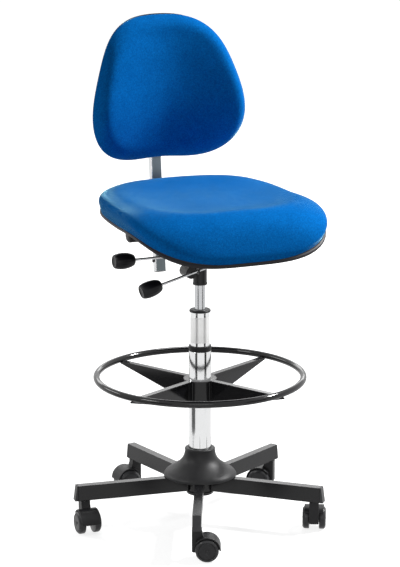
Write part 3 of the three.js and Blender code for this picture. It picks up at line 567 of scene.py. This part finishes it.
def make_castor(k):
    name = f"castor_{k + 1}"
    arm = turn_z(FIRST_ARM + ARM_SPACING * k)
    place = CHAIR @ arm @ Matrix.Translation((STEM_REACH, 0, 0)) @ turn_z(CASTOR_TURNS[k])
    axle = Matrix.Translation((CASTOR_TRAIL, 0, WHEEL_RADIUS))
    top = ARM_BOTTOM - 0.3
    inner, outer = WHEEL_RADIUS + 1.6, WHEEL_RADIUS + 5.0
    back = 180 - math.degrees(math.asin(20 / outer))
    web = [(-12.5, 23.0), (-9, 20.8), (CASTOR_TRAIL, 20.0),
           *arc(CASTOR_TRAIL, WHEEL_RADIUS, outer, 0, 105, 40),
           (12.5, top - (top - WHEEL_RADIUS - outer) / 2), (12.5, top), (-12.5, top)]
    band = arc(CASTOR_TRAIL, WHEEL_RADIUS, outer, 0, back, 56)
    band += arc(CASTOR_TRAIL, WHEEL_RADIUS, inner, back, 0, 56)
    hood = piece(name + "_hood", [prism(web, 12.0), prism(band, 25.0)], name, "black_plastic",
                 "hood", name + "_fork", place, 25.0)
    bevel(hood, 1.1, 3)
    stem = [pin(5.5, top - 5, top + 30, 0.8, 40), pin(9.5, top - 1, top + 0.25, 0.3, 48),
            turned(along_y(pin(3, -23, 23, 0.4, 32)), axle)]
    piece(name + "_stem", stem, name, "bright_steel", "zinc", place=place)
    for side, turn in (("a", 0), ("b", 180)):
        make_wheel(f"{name}_wheel_{side}", place @ axle @ turn_z(turn))


def make_wheel(name, place):
    face = WHEEL_INNER + WHEEL_WIDTH
    tread = WHEEL_INNER + 10.5
    dome = [(WHEEL_RADIUS - 0.35 * (1 - math.cos(t)) - 5.2 * math.sin(t) ** 2.2,
             tread + (face - tread - 1.4) * math.sin(t)) for t in np.linspace(0.12, math.pi / 2, 9)]
    tyre = [(AXLE_BORE, WHEEL_INNER), (26.5, WHEEL_INNER), (28.4, WHEEL_INNER + 0.5),
            (WHEEL_RADIUS, WHEEL_INNER + 1.7), (WHEEL_RADIUS, tread), *dome, (22.9, face - 1.3),
            (22.2, face - 1.9), (22.0, face - 4.2), (AXLE_BORE, face - 4.2)]
    piece(name + "_tyre", [along_y(lathe(tyre))], name, "wheel_plastic", "tyre", name, place, 28.0)
    disc = [(AXLE_BORE, face - 5), (21.6, face - 5), (21.6, face - 2.3), (20.2, face - 1.6),
            (8, face - 1.2), (7, face - 1.9), (AXLE_BORE, face - 1.9)]
    hub = [(CORE, face - 4), (3.9, face - 4), (3.9, face - 1.1), (2.4, face - 0.5),
           (CORE, face - 0.4)]
    skins = [along_y(lathe(rounded(disc, 0.5), 80)), along_y(lathe(rounded(hub, 0.4), 40))]
    piece(name + "_disc", skins, name, "wheel_plastic", "wheel", place=place)


COVER_STEPS = 60
COVER_CURVE = ((0, 94), (0.06, 91.5), (0.13, 86.5), (0.2, 78.6), (0.28, 69.5), (0.36, 61),
               (0.44, 54), (0.52, 48.6), (0.6, 44.6), (0.7, 41.4), (0.8, 39.6), (0.9, 38.7),
               (1, 38.4))


def make_hub_cover():
    """A bell with a flared foot and a rolled lip, its curve evened out over nearby heights."""
    heights, radii = zip(*COVER_CURVE)
    outer, inner = [], []
    for k in range(COVER_STEPS + 1):
        share = k / COVER_STEPS
        near = [share + 0.05 * n / 3 for n in range(-3, 4)]
        radius = sum(float(np.interp(n, heights, radii)) for n in near) / len(near)
        level = COVER_FOOT + COVER_RISE * share
        if level + 3 < 187:
            outer.append((radius, level + 3))
        if 0 < share < 0.95 and level + 1.5 < 186:
            inner.append((radius - COVER_WALL, level + 1.5))
    foot = [(91.5, COVER_FOOT), (93.6, COVER_FOOT), (94.0, COVER_FOOT + 0.6)]
    lip = [(38.4, 187.5), (39.1, 188.7), (39.2, 190.4), (38.4, 192.3), (36.6, 193.5),
           (33.6, 193.8), (30.2, 193.8), (29.1, 193.0), (29.0, 189), (35.5, 187.5)]
    piece("hub_cover_piece", [lathe([*foot, *outer, *lip, *reversed(inner)], 128)], "base",
          "black_plastic", "cone", "hub_cover", angle=40.0)


LABEL_STEPS, LABEL_START, LABEL_TURN = 80, -245, 310
LABEL_SECTION = ((25.04, 474), (25.2, 474), (25.2, 541), (25.04, 541))


def make_column():
    sleeve = [(26.5, COLUMN_FOOT), (28.5, COLUMN_FOOT), (28.5, SLEEVE_TOP), (26.5, SLEEVE_TOP)]
    collar = [(25.3, 431), (26.2, 431), (26.2, 451.3), (28.9, 451.3), (28.9, 463.8), (28.0, 465.5),
              (25.3, 465.5)]
    gas_tube = [(5.5, COLUMN_FOOT), (25, COLUMN_FOOT), (25, TUBE_TOP), (23.3, TUBE_TOP),
                (23.3, 78.3), (5.5, 78.3)]
    bush = [(14.3, 523), (23, 523), (23, 553.3), (27.5, 553.3), (27.5, 556.8), (25.4, 559.3),
            (14.3, 559.3)]
    for name, profile, edge, slot, look, node in (
        ("sleeve_piece", sleeve, 0.5, "chrome", "chrome", "pedestal_sleeve"),
        ("collar_piece", collar, 0.7, "black_plastic", "plastic", "sleeve_collar"),
        ("tube_piece", gas_tube, 0.5, "chrome", "chrome", "gas_spring_tube"),
        ("bush_piece", bush, 0.8, "black_plastic", "plastic", "guide_bush"),
    ):
        piece(name, [lathe(rounded(profile, edge), 128)], "base", slot, look, node)
    wrap = []
    for k in range(LABEL_STEPS + 1):
        turn = math.radians(LABEL_START + LABEL_TURN * k / LABEL_STEPS)
        wrap.append([(r * math.cos(turn), r * math.sin(turn), z) for r, z in LABEL_SECTION])
    points, faces = loft(wrap)
    faces += [(0, 1, 2, 3), tuple(range(len(points) - 4, len(points)))]
    piece("plain_label", [(points, faces)], "base", "chrome", "label")
    cylinder = [(5.5, CYLINDER_FOOT), (14, CYLINDER_FOOT), (14, CYLINDER_TOP), (3.3, CYLINDER_TOP),
                (3.3, CYLINDER_TOP - 16), (12, CYLINDER_TOP - 16), (12, CYLINDER_FOOT + 12),
                (5.5, CYLINDER_FOOT + 12)]
    piece("cylinder_piece", [lathe(rounded(cylinder, 0.5))], "seat_unit", "chrome", "ground",
          "gas_cylinder")


def make_foot_ring():
    path = [(RING_RADIUS * math.cos(t), RING_RADIUS * math.sin(t), RING_LEVEL)
            for t in np.linspace(0, 2 * math.pi, 192, endpoint=False)]
    piece("ring_tube", [sweep(path, circle(RING_TUBE, 28), True)], "foot_ring", "black_steel",
          "ring", "foot_ring_tube")
    dressed("foot_ring_hub", "foot_ring", "black_steel", "ring", 0.5, 2)
    bead = circle(1.5, 10)
    beads = []
    for k in range(SPOKES):
        dressed(f"foot_ring_spoke_{k + 1}", "foot_ring", "black_steel", "ring", 0.7, 2)
        spoke = turn_z(FIRST_SPOKE + SPOKE_SPACING * k)
        across = [(RING_RADIUS - RING_TUBE - 0.6, y, SPOKE_LEVEL - 0.8)
                  for y in np.linspace(-7.4, 7.4, 10)]
        beads.append(turned(sweep(across, bead), spoke))
        for side in (-1, 1):
            drop = [(32.6, side * 2.2, z) for z in np.linspace(310, 371, 12)]
            beads.append(turned(sweep(drop, bead), spoke))
    piece("ring_welds", beads, "foot_ring", "black_steel", "ring")


def grip_profile():
    """From the outer end face at 0 to the neck, then back through the bore."""
    face = [(0, 1.5), (9.6, 1.5), (10.2, 0.7), (11.0, 0.2), (14.2, 0), (15.6, 0.25)]
    barrel = [(16.6, 0.9), (17.9, 3.2), (19.3, 8), (20.4, 14), (21.0, 21), (20.9, 27), (20.3, 33),
              (19.0, 40), (17.0, 46.5), (14.6, 51.5), (12.6, 54), (11.2, GRIP_LENGTH)]
    return face + barrel + [(4.6, GRIP_LENGTH), (3.9, 54.0), (3.8, 22), (0, 22)]


def make_levers():
    level = CYLINDER_TOP + 10.0
    root = Vector((LEVER_WALL, GAS_LEVER_Y, level + LEVER_WALL * math.tan(LEVER_SLOPE)))
    out = Vector((-math.cos(LEVER_SLOPE), 0, -math.sin(LEVER_SLOPE)))
    start = root + out * GAS_LEVER_REACH
    corner = Vector((0, GAS_LEVER_Y, level))
    end = Vector((0, 3.5, level))
    first = corner + (start - corner).normalized() * 16
    last = corner + (end - corner).normalized() * 16
    bend = [first * (1 - t) ** 2 + corner * 2 * t * (1 - t) + last * t * t
            for t in np.linspace(0, 1, 12)]
    path = [start, start.lerp(first, 0.5), *bend, last.lerp(end, 0.5), end]
    piece("gas_lever_bar", [sweep(path, circle(LEVER_ROD, 28))], "gas_lever", "black_steel",
          "ground", "gas_lever_rod")
    back_root = Vector((LEVER_WALL, BACK_LEVER_Y, BACK_LEVER_Z))
    rod = along_x(pin(LEVER_ROD, -BACK_LEVER_REACH, 24, 0.6, 32))
    piece("back_lever_bar", [turned(rod, Matrix.Translation(back_root))], "back_lever",
          "black_steel", "ground", "back_lever_rod")
    beyond = GRIP_LENGTH - GRIP_SOCKET + 0.3
    left = Vector((-1, 0, 0))
    for body, origin, outward in (
        ("gas_lever", root + out * (GAS_LEVER_REACH + beyond), out),
        ("back_lever", back_root + left * (BACK_LEVER_REACH + beyond), left),
    ):
        place = Matrix.Translation(origin) @ (-outward).to_track_quat("Z", "Y").to_matrix().to_4x4()
        skin = fluted(lathe(grip_profile(), 144, False), 18, 0.35, 17.0, fade=1.5)
        piece(body + "_grip_piece", [turned(skin, place)], body, "black_plastic", "grip",
              body + "_grip", angle=50.0)


PLATE_BOTTOM = 740.2


def bolt():
    """A hexagon head on its washer, standing on Z = 0."""
    return [pin(9.0, 0, 1.5, 0.3, 32), pin(6.0, 1.5, 5.5, 0.4, 6)]


def make_mechanism():
    dressed("mechanism_housing", "seat_unit", "black_steel", "frame", 0.9, 2)
    dressed("seat_plate", "seat_unit", "black_steel", "frame", 0.6, 2)
    bolts = []
    for x in (-62, 62):
        for y in (-95, 69):
            hung = Matrix.Translation((x, y, PLATE_BOTTOM)) @ Matrix.Rotation(math.pi, 4, "X")
            bolts += [turned(skin, hung) for skin in bolt()]
    piece("plate_bolts", bolts, "seat_unit", "bright_steel", "zinc")


def upright_rim(inset, z):
    """The upright's rounded rectangle, drawn in by an inset."""
    x, y, r = UPRIGHT_HALF_X - inset, UPRIGHT_HALF_Y - inset, max(UPRIGHT_CORNER - inset, 0.8)
    ring = []
    corners = ((x - r, y - r, 0), (-x + r, y - r, 90), (-x + r, -y + r, 180), (x - r, -y + r, 270))
    for cx, cy, start in corners:
        for step in range(7):
            t = math.radians(start + 15 * step)
            ring.append((cx + r * math.cos(t), cy + r * math.sin(t), z))
    return ring


def make_upright():
    rim, wall, length = upright_rim, UPRIGHT_WALL, UPRIGHT_LENGTH
    rings = [rim(inset, z) for inset, z in (
        (wall, 0), (wall - 0.3, 0), (0.3, 0), (0, 0.5), (0, length - 0.5), (0.3, length),
        (wall - 0.3, length), (wall, length), (wall, length - 0.3), (wall, 0.3))]
    made = piece("upright_tube", [looped(rings)], "backrest", "grey_steel", "plated", "upright",
                 UPRIGHT, 40.0)
    # Lit and shaded copies of one steel: the front and back faces get the darker grey copy, which
    # is painted shade, and the sides keep the bright copy, which is a painted highlight.
    made.data.materials.append(MATERIALS["upright_shaded_faces"])
    front = (UPRIGHT.to_3x3() @ Vector((0, -1, 0))).normalized()
    for polygon in made.data.polygons:
        if abs(polygon.normal.dot(front)) > 0.97:
            polygon.material_index = 1
    inside = wall + 0.15
    plugs = []
    for end, out in ((length, 1), (0, -1)):
        rings = [rim(inset, end + out * z) for inset, z in (
            (inside, -8), (inside, 0.05), (0.4, 0.05), (0.4, 1.6), (1.4, 2.4))]
        plugs.append(loft(rings, (0, 0, end - out * 8), (0, 0, end + out * 2.4)))
    piece("upright_plugs", plugs, "backrest", "black_plastic", "plastic", None, UPRIGHT, 40.0)


KNOB_FACE = -(UPRIGHT_HALF_X + 6 + 32)
KNOB_LEVEL, STOP_LEVEL = 101, 27


def make_back_arm():
    dressed("back_arm", "back_arm", "black_steel", "frame", 1.0, 3)
    make_upright()
    knob = [(0, -34), (13, -34), (14, -33.4), (14.6, -32.6), (16.8, -33.2), (18.6, -32),
            (20, -29), (20, -5), (18.8, -2.2), (16, -0.5), (9, 0), (4.1, 3.8), (4, 37.6),
            (0, 37.6)]
    skin = lathe([(r, KNOB_FACE + z) for r, z in knob], 144, False)
    piece("height_knob_piece", [along_x(fluted(skin, 24, 1.3, 17.5, power=2))], "height_knob",
          "black_plastic", "grip", "height_knob",
          UPRIGHT @ Matrix.Translation((0, 0, KNOB_LEVEL)), 50.0)
    screw = [(CORE, -19.3), (3.4, -19.3), (4, -18.8), (4, -15.3), (CORE, -15.3)]
    piece("stop_screw_piece", [along_x(lathe(screw, 48))], "backrest", "black_steel", "frame",
          "stop_screw", UPRIGHT @ Matrix.Translation((0, 0, STOP_LEVEL)))
    dressed("backrest_bracket", "backrest", "black_steel", "frame", 1.0, 3)


# Padding, in metres: a trial skin of even cells is blown up a little by Blender's cloth. The
# cushion takes over how far each place of it went outward, evened out as taut fabric over foam is.
VOXEL = 0.006
SWELL_FRAMES, SWELL_PRESSURE = 20, 4.0
SWELL_CAP = 0.006
SWELL_REST = 0.0015      # what the cushion's own outline already holds of the swelling
STEP_ROUNDS = 4          # evens out the voxels' steps
TAUT_ROUNDS = 40         # evens out the movement
NEAR_POINTS = 6


def vectors(items, key):
    values = np.empty(len(items) * 3)
    items.foreach_get(key, values)
    return values.reshape(-1, 3)


def swell(made, is_held):
    """Fills a cushion out by simulation, except where is_held says that it rests on its shell."""
    places, moved = blown_up(made, is_held)
    tree = KDTree(len(places))
    for k, place in enumerate(places):
        tree.insert(place, k)
    tree.balance()
    mesh = made.data
    points, normals = vectors(mesh.vertices, "co"), vectors(mesh.vertices, "normal")
    for k, point in enumerate(points):
        if not is_held(point):
            near = tree.find_n(point, NEAR_POINTS)
            weights = np.array([1 / (distance + 0.001) for _, _, distance in near])
            indices = [index for _, index, _ in near]
            outward = float(weights @ moved[indices]) / weights.sum()
            points[k] = point + normals[k] * (outward - SWELL_REST)
    mesh.vertices.foreach_set("co", points.ravel())
    mesh.update()
    made.modifiers.new("round", "SUBSURF").render_levels = 2


def blown_up(made, is_held):
    """Where a trial copy's points start, and how far outward the simulation takes each."""
    trial = made.copy()
    trial.data = made.data.copy()
    scene.collection.objects.link(trial)
    even = trial.modifiers.new("even", "REMESH")
    even.mode = "VOXEL"
    even.voxel_size = VOXEL
    bake(trial)
    mesh = trial.data
    start = vectors(mesh.vertices, "co")
    ends = np.empty(len(mesh.edges) * 2, int)
    mesh.edges.foreach_get("vertices", ends)
    first, second = ends.reshape(-1, 2).T
    size = len(start)
    count = np.bincount(first, minlength=size) + np.bincount(second, minlength=size)

    def evened(values):
        total = np.bincount(first, values[second], size) + np.bincount(second, values[first], size)
        return (values + total / count) / 2

    for _ in range(STEP_ROUNDS):
        start = np.stack([evened(start[:, k]) for k in range(3)], 1)
    mesh.vertices.foreach_set("co", start.ravel())
    mesh.update()
    normals = vectors(mesh.vertices, "normal")
    held = np.array([bool(is_held(point)) for point in start])
    group = trial.vertex_groups.new(name="held")
    group.add([int(k) for k in np.flatnonzero(held)], 1.0, "REPLACE")
    cloth = trial.modifiers.new("swell", "CLOTH").settings
    cloth.quality = 5
    cloth.mass = 0.3
    cloth.tension_stiffness = cloth.compression_stiffness = 15.0
    cloth.shear_stiffness = 5.0
    cloth.bending_stiffness = 0.5
    cloth.use_pressure = True
    cloth.uniform_pressure_force = SWELL_PRESSURE
    cloth.vertex_group_mass = "held"
    cloth.effector_weights.gravity = 0.0
    for number in range(1, SWELL_FRAMES + 1):
        scene.frame_set(number)
    bake(trial)
    scene.frame_set(1)
    moved = np.einsum("ij,ij->i", vectors(trial.data.vertices, "co") - start, normals)
    moved = np.clip(moved, 0.0, SWELL_CAP)
    for _ in range(TAUT_ROUNDS):
        moved = np.where(held, 0.0, evened(moved))
    bpy.data.objects.remove(trial)
    return start, moved


def bake(made):
    """Puts the modifiers' result into the object's own mesh."""
    bpy.context.view_layer.update()
    graph = bpy.context.evaluated_depsgraph_get()
    mesh = bpy.data.meshes.new_from_object(made.evaluated_get(graph), depsgraph=graph)
    mesh.name = made.name
    made.modifiers.clear()
    made.data = mesh


# Seat. Across and along run from -1 to 1 over its outline, and a share shrinks the outline.
SEAT_HALF_WIDTH, SEAT_HALF_DEPTH, SEAT_Y = 247, 245, -54
SEAT_LEVEL, PAN_FLOOR = 809, 743.6
PAN_WALL, PAD_GAP, CROWN = 4, 4.3, 57
RIM_SIDES = 96
SHOULDER = ((1.0, 5.8), (1.006, 10.5), (1.016, 17), (1.026, 25), (1.03, 32), (1.024, 38.5),
            (1.008, 44), (0.982, 48), (0.95, 51.2), (0.908, 53.7), (0.86, 55.4), (0.8, 56.4),
            (0.72, CROWN))
SEAT_TRIM = ((1.001, 0.4), (1.009, 0.9), (1.012, 2.4), (1.013, 5.0), (1.010, 6.8), (1.003, 7.4),
             (0.992, 7.2), (0.99, 2.0))


def seat_rim(angle, share):
    c, s = math.cos(angle), math.sin(angle)
    power = 3.9 if s > 0 else 3.7
    radius = (abs(c) ** power + abs(s) ** power) ** (-1 / power) * share
    along = radius * s
    return radius * c * (1 - 0.055 * along), along


def seat_edge(across, along):
    """The edge's level: it falls at the front, at the sides and most at the front corners."""
    ahead = max(0, -along)
    side = across * across * (1 - ahead)
    corner = abs(across) ** 5 * ahead ** 3
    return SEAT_LEVEL + 9 * along - 66 * ahead ** 4 - 10 * side - 15 * corner


def seat_ring(share, height):
    ring = []
    for k in range(RIM_SIDES):
        across, along = seat_rim(2 * math.pi * k / RIM_SIDES, share)
        level = height(across, along, share)
        ring.append((across * SEAT_HALF_WIDTH, along * SEAT_HALF_DEPTH + SEAT_Y, level))
    return ring


def seat_centre(height):
    return (0, SEAT_Y, height(0, 0, 0))


def above_pan(rise):
    def height(across, along, share):
        climb = min(1, max(0, (share - 0.5) / 0.5) ** 1.6)
        return PAN_FLOOR + (seat_edge(across, along) - PAN_FLOOR) * climb + rise

    return height


def above_edge(rise):
    return lambda across, along, share: seat_edge(across, along) + rise


def crown_level(rise):
    """The pad's top: a hollow for the sitter, and a roll that falls away at the front."""
    def height(across, along, share):
        ahead = max(0, -along)
        full = 52 * (ahead ** 4 - ahead ** 8) * max(0, 1 - across * across) if ahead < 1 else 0
        near = abs(along) / (0.7 if along < 0 else 0.92)
        hollow = (near ** 3 + abs(across / 0.84) ** 3) ** (1 / 3)
        dish = 24 * max(0, 1 - hollow ** 4) ** 1.3
        return seat_edge(across, along) + rise + full - dish

    return height


def on_seat_shell(point):
    across = (point[0] / MM - COLUMN[0]) / SEAT_HALF_WIDTH
    along = (point[1] / MM - COLUMN[1] - SEAT_Y) / SEAT_HALF_DEPTH
    return point[2] / MM < seat_edge(across, along) + 14


def make_seat():
    low, high = above_pan(0), above_pan(PAN_WALL)
    inside = [0.2, 0.35, 0.5, 0.6, 0.7, 0.78, 0.85, 0.9]
    shell = [seat_ring(share, low) for share in [*inside, 0.95]]
    shell += [seat_ring(share, above_edge(rise)) for share, rise in (
        (0.99, 0.4), (0.998, 1.4), (1.0, 3), (1.0, 9), (0.997, 10), (0.985, 10), (0.975, 4))]
    shell += [seat_ring(share, high) for share in [0.93, *reversed(inside)]]
    piece("seat_pan", [loft(shell, seat_centre(low), seat_centre(high))], "seat_unit",
          "black_plastic", "shell", "seat_shell", angle=50.0)
    trim = [seat_ring(share, above_edge(rise)) for share, rise in SEAT_TRIM]
    piece("seat_edge_trim", [looped(trim)], "seat_unit", "black_plastic", "trim", angle=60.0)
    bottom, top = above_pan(PAD_GAP), crown_level(CROWN)
    rings = [seat_ring(share, bottom) for share in (0.3, 0.5, 0.7, 0.85, 0.93)]
    rings += [seat_ring(share, above_edge(rise)) for share, rise in (
        (0.968, PAD_GAP + 0.4), (0.978, 4.7), (0.99, 5.0))]
    rings += [seat_ring(share, crown_level(rise)) for share, rise in SHOULDER]
    rings += [seat_ring(share, top) for share in (
        0.66, 0.6, 0.54, 0.47, 0.4, 0.33, 0.25, 0.17, 0.08)]
    cushion = piece("seat_cushion_pad", [loft(rings, seat_centre(bottom), seat_centre(top))],
                    "seat_unit", "blue_fabric", "fabric", "seat_cushion", angle=70.0)
    swell(cushion, on_seat_shell)


# Backrest
BACK_RADIUS, BACK_LEVEL = 202.5, 1112
BACK_WAVES = (1, -0.123, -0.041, 0.057, -0.055)
BACK_Y, LUMBAR, LUMBAR_LEVEL, LUMBAR_REACH, BACK_CURVE = 257, 24, 1075, 200, 460
PAN_FRONT, PAN_BACK = 9, 15
BACK_SHARES = (1.0, 0.998, 0.993, 0.985, 0.974, 0.96, 0.942, 0.92, 0.89, 0.855, 0.82, 0.78, 0.74,
               0.69, 0.63, 0.56, 0.48, 0.4, 0.31, 0.22, 0.12)


def back_rim(angle, share):
    """A point of the outline, with the lower corners filled out beyond the solid's."""
    turn = angle - math.pi / 2
    low = max(0, -math.sin(angle)) ** 2
    share *= 1 + low * (0.018 + 0.038 * math.cos(angle) ** 2)
    waves = sum(wave * math.cos(k * turn) for k, wave in enumerate(BACK_WAVES))
    radius = BACK_RADIUS * share * waves
    return radius * math.cos(angle), BACK_LEVEL + radius * math.sin(angle)


def back_surface(x, z):
    lumbar = max(0, 1 - ((z - LUMBAR_LEVEL) / LUMBAR_REACH) ** 2)
    return BACK_Y - LUMBAR * lumbar - x * x / (2 * BACK_CURVE)


def back_ring(share, offset, crest=0.0):
    """One ring of the backrest, with its top edge pushed out by a share where crest is set."""
    ring = []
    for k in range(RIM_SIDES):
        angle = 2 * math.pi * k / RIM_SIDES
        x, z = back_rim(angle, share * (1 + crest * max(0, math.sin(angle)) ** 6))
        ring.append((x, back_surface(x, z) + offset, z))
    return ring


def back_face(share):
    """One ring of the pad's face: a hollow panel in a full rim, fuller at the loins."""
    ring = []
    edge = 1 - max(0, (share - 0.76) / 0.24) ** 2.5
    for k in range(RIM_SIDES):
        x, z = back_rim(2 * math.pi * k / RIM_SIDES, share)
        loins = math.exp(-((z - 1045) / 80) ** 2) * (1 - share ** 3)
        wing = (x / 180) ** 2
        ring.append((x, back_surface(x, z) - 4 - (20 + 22 * wing) * edge - 5 * loins, z))
    return ring


def on_back_shell(point):
    return point[1] / MM > back_surface(point[0] / MM - COLUMN[0], point[2] / MM) - 6


def make_backrest():
    def centre(offset):
        return (0, back_surface(0, BACK_LEVEL) + offset, BACK_LEVEL)

    inside = [0.15, 0.3, 0.45, 0.6, 0.75, 0.87]
    shell = [back_ring(share, PAN_BACK) for share in inside]
    shell += [back_ring(share, offset, crest) for share, offset, crest in (
        (0.94, 14.4, 0), (0.965, 13.2, 0.012), (0.98, 11.2, 0.022), (0.985, 9.6, 0.022),
        (0.985, PAN_FRONT, 0.022), (0.97, PAN_FRONT, 0))]
    shell += [back_ring(share, PAN_FRONT) for share in reversed(inside)]
    piece("backrest_pan", [loft(shell, centre(PAN_BACK), centre(PAN_FRONT))], "backrest",
          "black_plastic", "shell", "backrest_shell", angle=50.0)
    behind = PAN_FRONT - 0.3
    rings = [back_ring(share, offset) for share, offset in (
        (0.25, behind), (0.5, behind), (0.75, behind), (0.9, behind), (0.96, behind),
        (0.984, 7.8), (0.994, 4.5), (1.0, 0.5))]
    rings += [back_face(share) for share in BACK_SHARES]
    front = (0, back_face(0.001)[0][1], BACK_LEVEL)
    cushion = piece("backrest_cushion_pad", [loft(rings, centre(behind), front)], "backrest",
                    "blue_fabric", "fabric", "backrest_cushion", angle=70.0)
    swell(cushion, on_back_shell)


def dress_hidden_nodes():
    for node in ("thrust_bearing", "retaining_clip", "back_spring", "piston_rod",
                 "release_button", "foot_ring_bolt", "back_pivot_pin"):
        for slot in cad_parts[node].material_slots:
            slot.material = MATERIALS["zinc"]


# Studio: pale floor, soft lights, white surroundings, in metres. Turns are measured from the
# camera's side, towards the right of the picture. The lamps all face straight down.
LAMPS = (  # name, turn, rise, distance, size in X, size in Y, power
    ("key", 106.0, 40.0, 3.4, 0.25, 0.9, 285.0),
    ("front", 0.0, 10.0, 3.6, 1.5, 1.0, 32.0),
    ("left", -60.0, 30.0, 3.4, 1.0, 1.0, 42.0),
    ("side", -112.0, 16.0, 3.4, 0.8, 1.8, 45.0),
    ("top", 165.0, 60.0, 3.2, 0.8, 0.8, 34.0),
    ("panel", 180.0, 15.0, 4.4, 5.0, 1.5, 70.0),
)
CARDS = (  # dark cards that give the column its streaks: turn, distance, width, height, tone
    (-38.0, 1.5, 0.6, 0.5, 0.01),
    (57.0, 1.5, 0.6, 0.5, 0.01),
    (-72.0, 0.72, 0.6, 0.19, 0.3),
)
LAMPS_CENTRE = 0.75
WORLD_LIGHT = 0.08
FLOOR_HALF = 30.0
FLOOR_TONE = (0.42, 0.42, 0.42)


def studio_place(turn, rise, distance):
    a, e = math.radians(turn - CAMERA_TURN), math.radians(rise)
    away = Vector((math.sin(a) * math.cos(e), -math.cos(a) * math.cos(e), math.sin(e)))
    middle = Vector((COLUMN[0] * MM, COLUMN[1] * MM, LAMPS_CENTRE if rise else 0.0))
    return middle + away * distance


def white_for_eyes(tree, lit, shown, mirrored):
    """Joins a shader for light with what the camera sees and what shiny surfaces see."""
    path = tree.nodes.new("ShaderNodeLightPath")
    for name, shader in (("Is Glossy Ray", mirrored), ("Is Transmission Ray", mirrored),
                         ("Is Camera Ray", shown)):
        mix = tree.nodes.new("ShaderNodeMixShader")
        tree.links.new(path.outputs[name], mix.inputs[0])
        tree.links.new(lit, mix.inputs[1])
        tree.links.new(shader, mix.inputs[2])
        lit = mix.outputs[0]
    return lit


def flat_object(name, corners, material):
    mesh = bpy.data.meshes.new(name)
    mesh.from_pydata(corners, [], [(0, 1, 2, 3)])
    mesh.materials.append(material)
    made = bpy.data.objects.new(name, mesh)
    scene.collection.objects.link(made)
    return made


def make_world():
    world = bpy.data.worlds.new("studio")
    scene.world = world
    world.use_nodes = True
    tree = world.node_tree
    lit = tree.nodes["Background"]
    lit.inputs["Color"].default_value = (0.95, 0.97, 1, 1)
    lit.inputs["Strength"].default_value = WORLD_LIGHT
    shown = tree.nodes.new("ShaderNodeBackground")
    shown.inputs["Color"].default_value = (1, 1, 1, 1)
    shown.inputs["Strength"].default_value = 1.0
    both = white_for_eyes(tree, lit.outputs[0], shown.outputs[0], shown.outputs[0])
    tree.links.new(both, tree.nodes["World Output"].inputs["Surface"])


def make_floor():
    """The camera sees it shine nearly white, with the object's shadow, and whiter further out."""
    s = Shader("floor", FLOOR_TONE, 0.9)
    s.set("Specular IOR Level", 0.1)
    reach = s.add("ShaderNodeVectorMath", operation="LENGTH")
    s.link(s.place, reach.inputs[0])
    glow = s.add("ShaderNodeEmission")
    s.link(s.spread(reach.outputs["Value"], 0.82, 1.0, 0.9, 3.0), glow.inputs["Strength"])
    both = s.add("ShaderNodeAddShader")
    s.link(s.bsdf.outputs[0], both.inputs[0])
    s.link(glow.outputs[0], both.inputs[1])
    white = s.add("ShaderNodeEmission")
    s.link(white_for_eyes(s.tree, s.bsdf.outputs[0], both.outputs[0], white.outputs[0]),
           s.tree.nodes["Material Output"].inputs["Surface"])
    half = FLOOR_HALF
    flat_object("floor", [(-half, -half, 0), (half, -half, 0), (half, half, 0), (-half, half, 0)],
                s.material)


def make_lamps():
    for name, turn, rise, distance, size_x, size_y, power in LAMPS:
        data = bpy.data.lights.new(name, "AREA")
        data.shape = "RECTANGLE"
        data.size, data.size_y = size_x, size_y
        data.energy = power
        light = bpy.data.objects.new(name, data)
        light.visible_camera = False
        light.location = studio_place(turn, rise, distance)
        scene.collection.objects.link(light)


def make_cards():
    for turn, distance, width, height, tone in CARDS:
        place = studio_place(turn, 0.0, distance)
        away = Vector((place.x, place.y, 0)).normalized()
        side = Vector((-away.y, away.x, 0)) * width / 2
        foot = Vector((place.x, place.y, 0.001))
        top = Vector((0, 0, height))
        corners = [foot - side, foot + side, foot + side + top, foot - side + top]
        dark = Shader("dark_card", (tone, tone, tone), 0.5)
        card = flat_object(f"dark_card_{turn:.0f}", corners, dark.material)
        for ray in ("camera", "diffuse", "shadow", "transmission", "volume_scatter"):
            setattr(card, "visible_" + ray, False)


make_camera()
MATERIALS = make_materials()
make_base()
make_hub_cover()
make_column()
make_foot_ring()
make_levers()
make_mechanism()
make_back_arm()
make_seat()
make_backrest()
dress_hidden_nodes()
make_world()
make_floor()
make_lamps()
make_cards()
scene.view_settings.view_transform = "Standard"
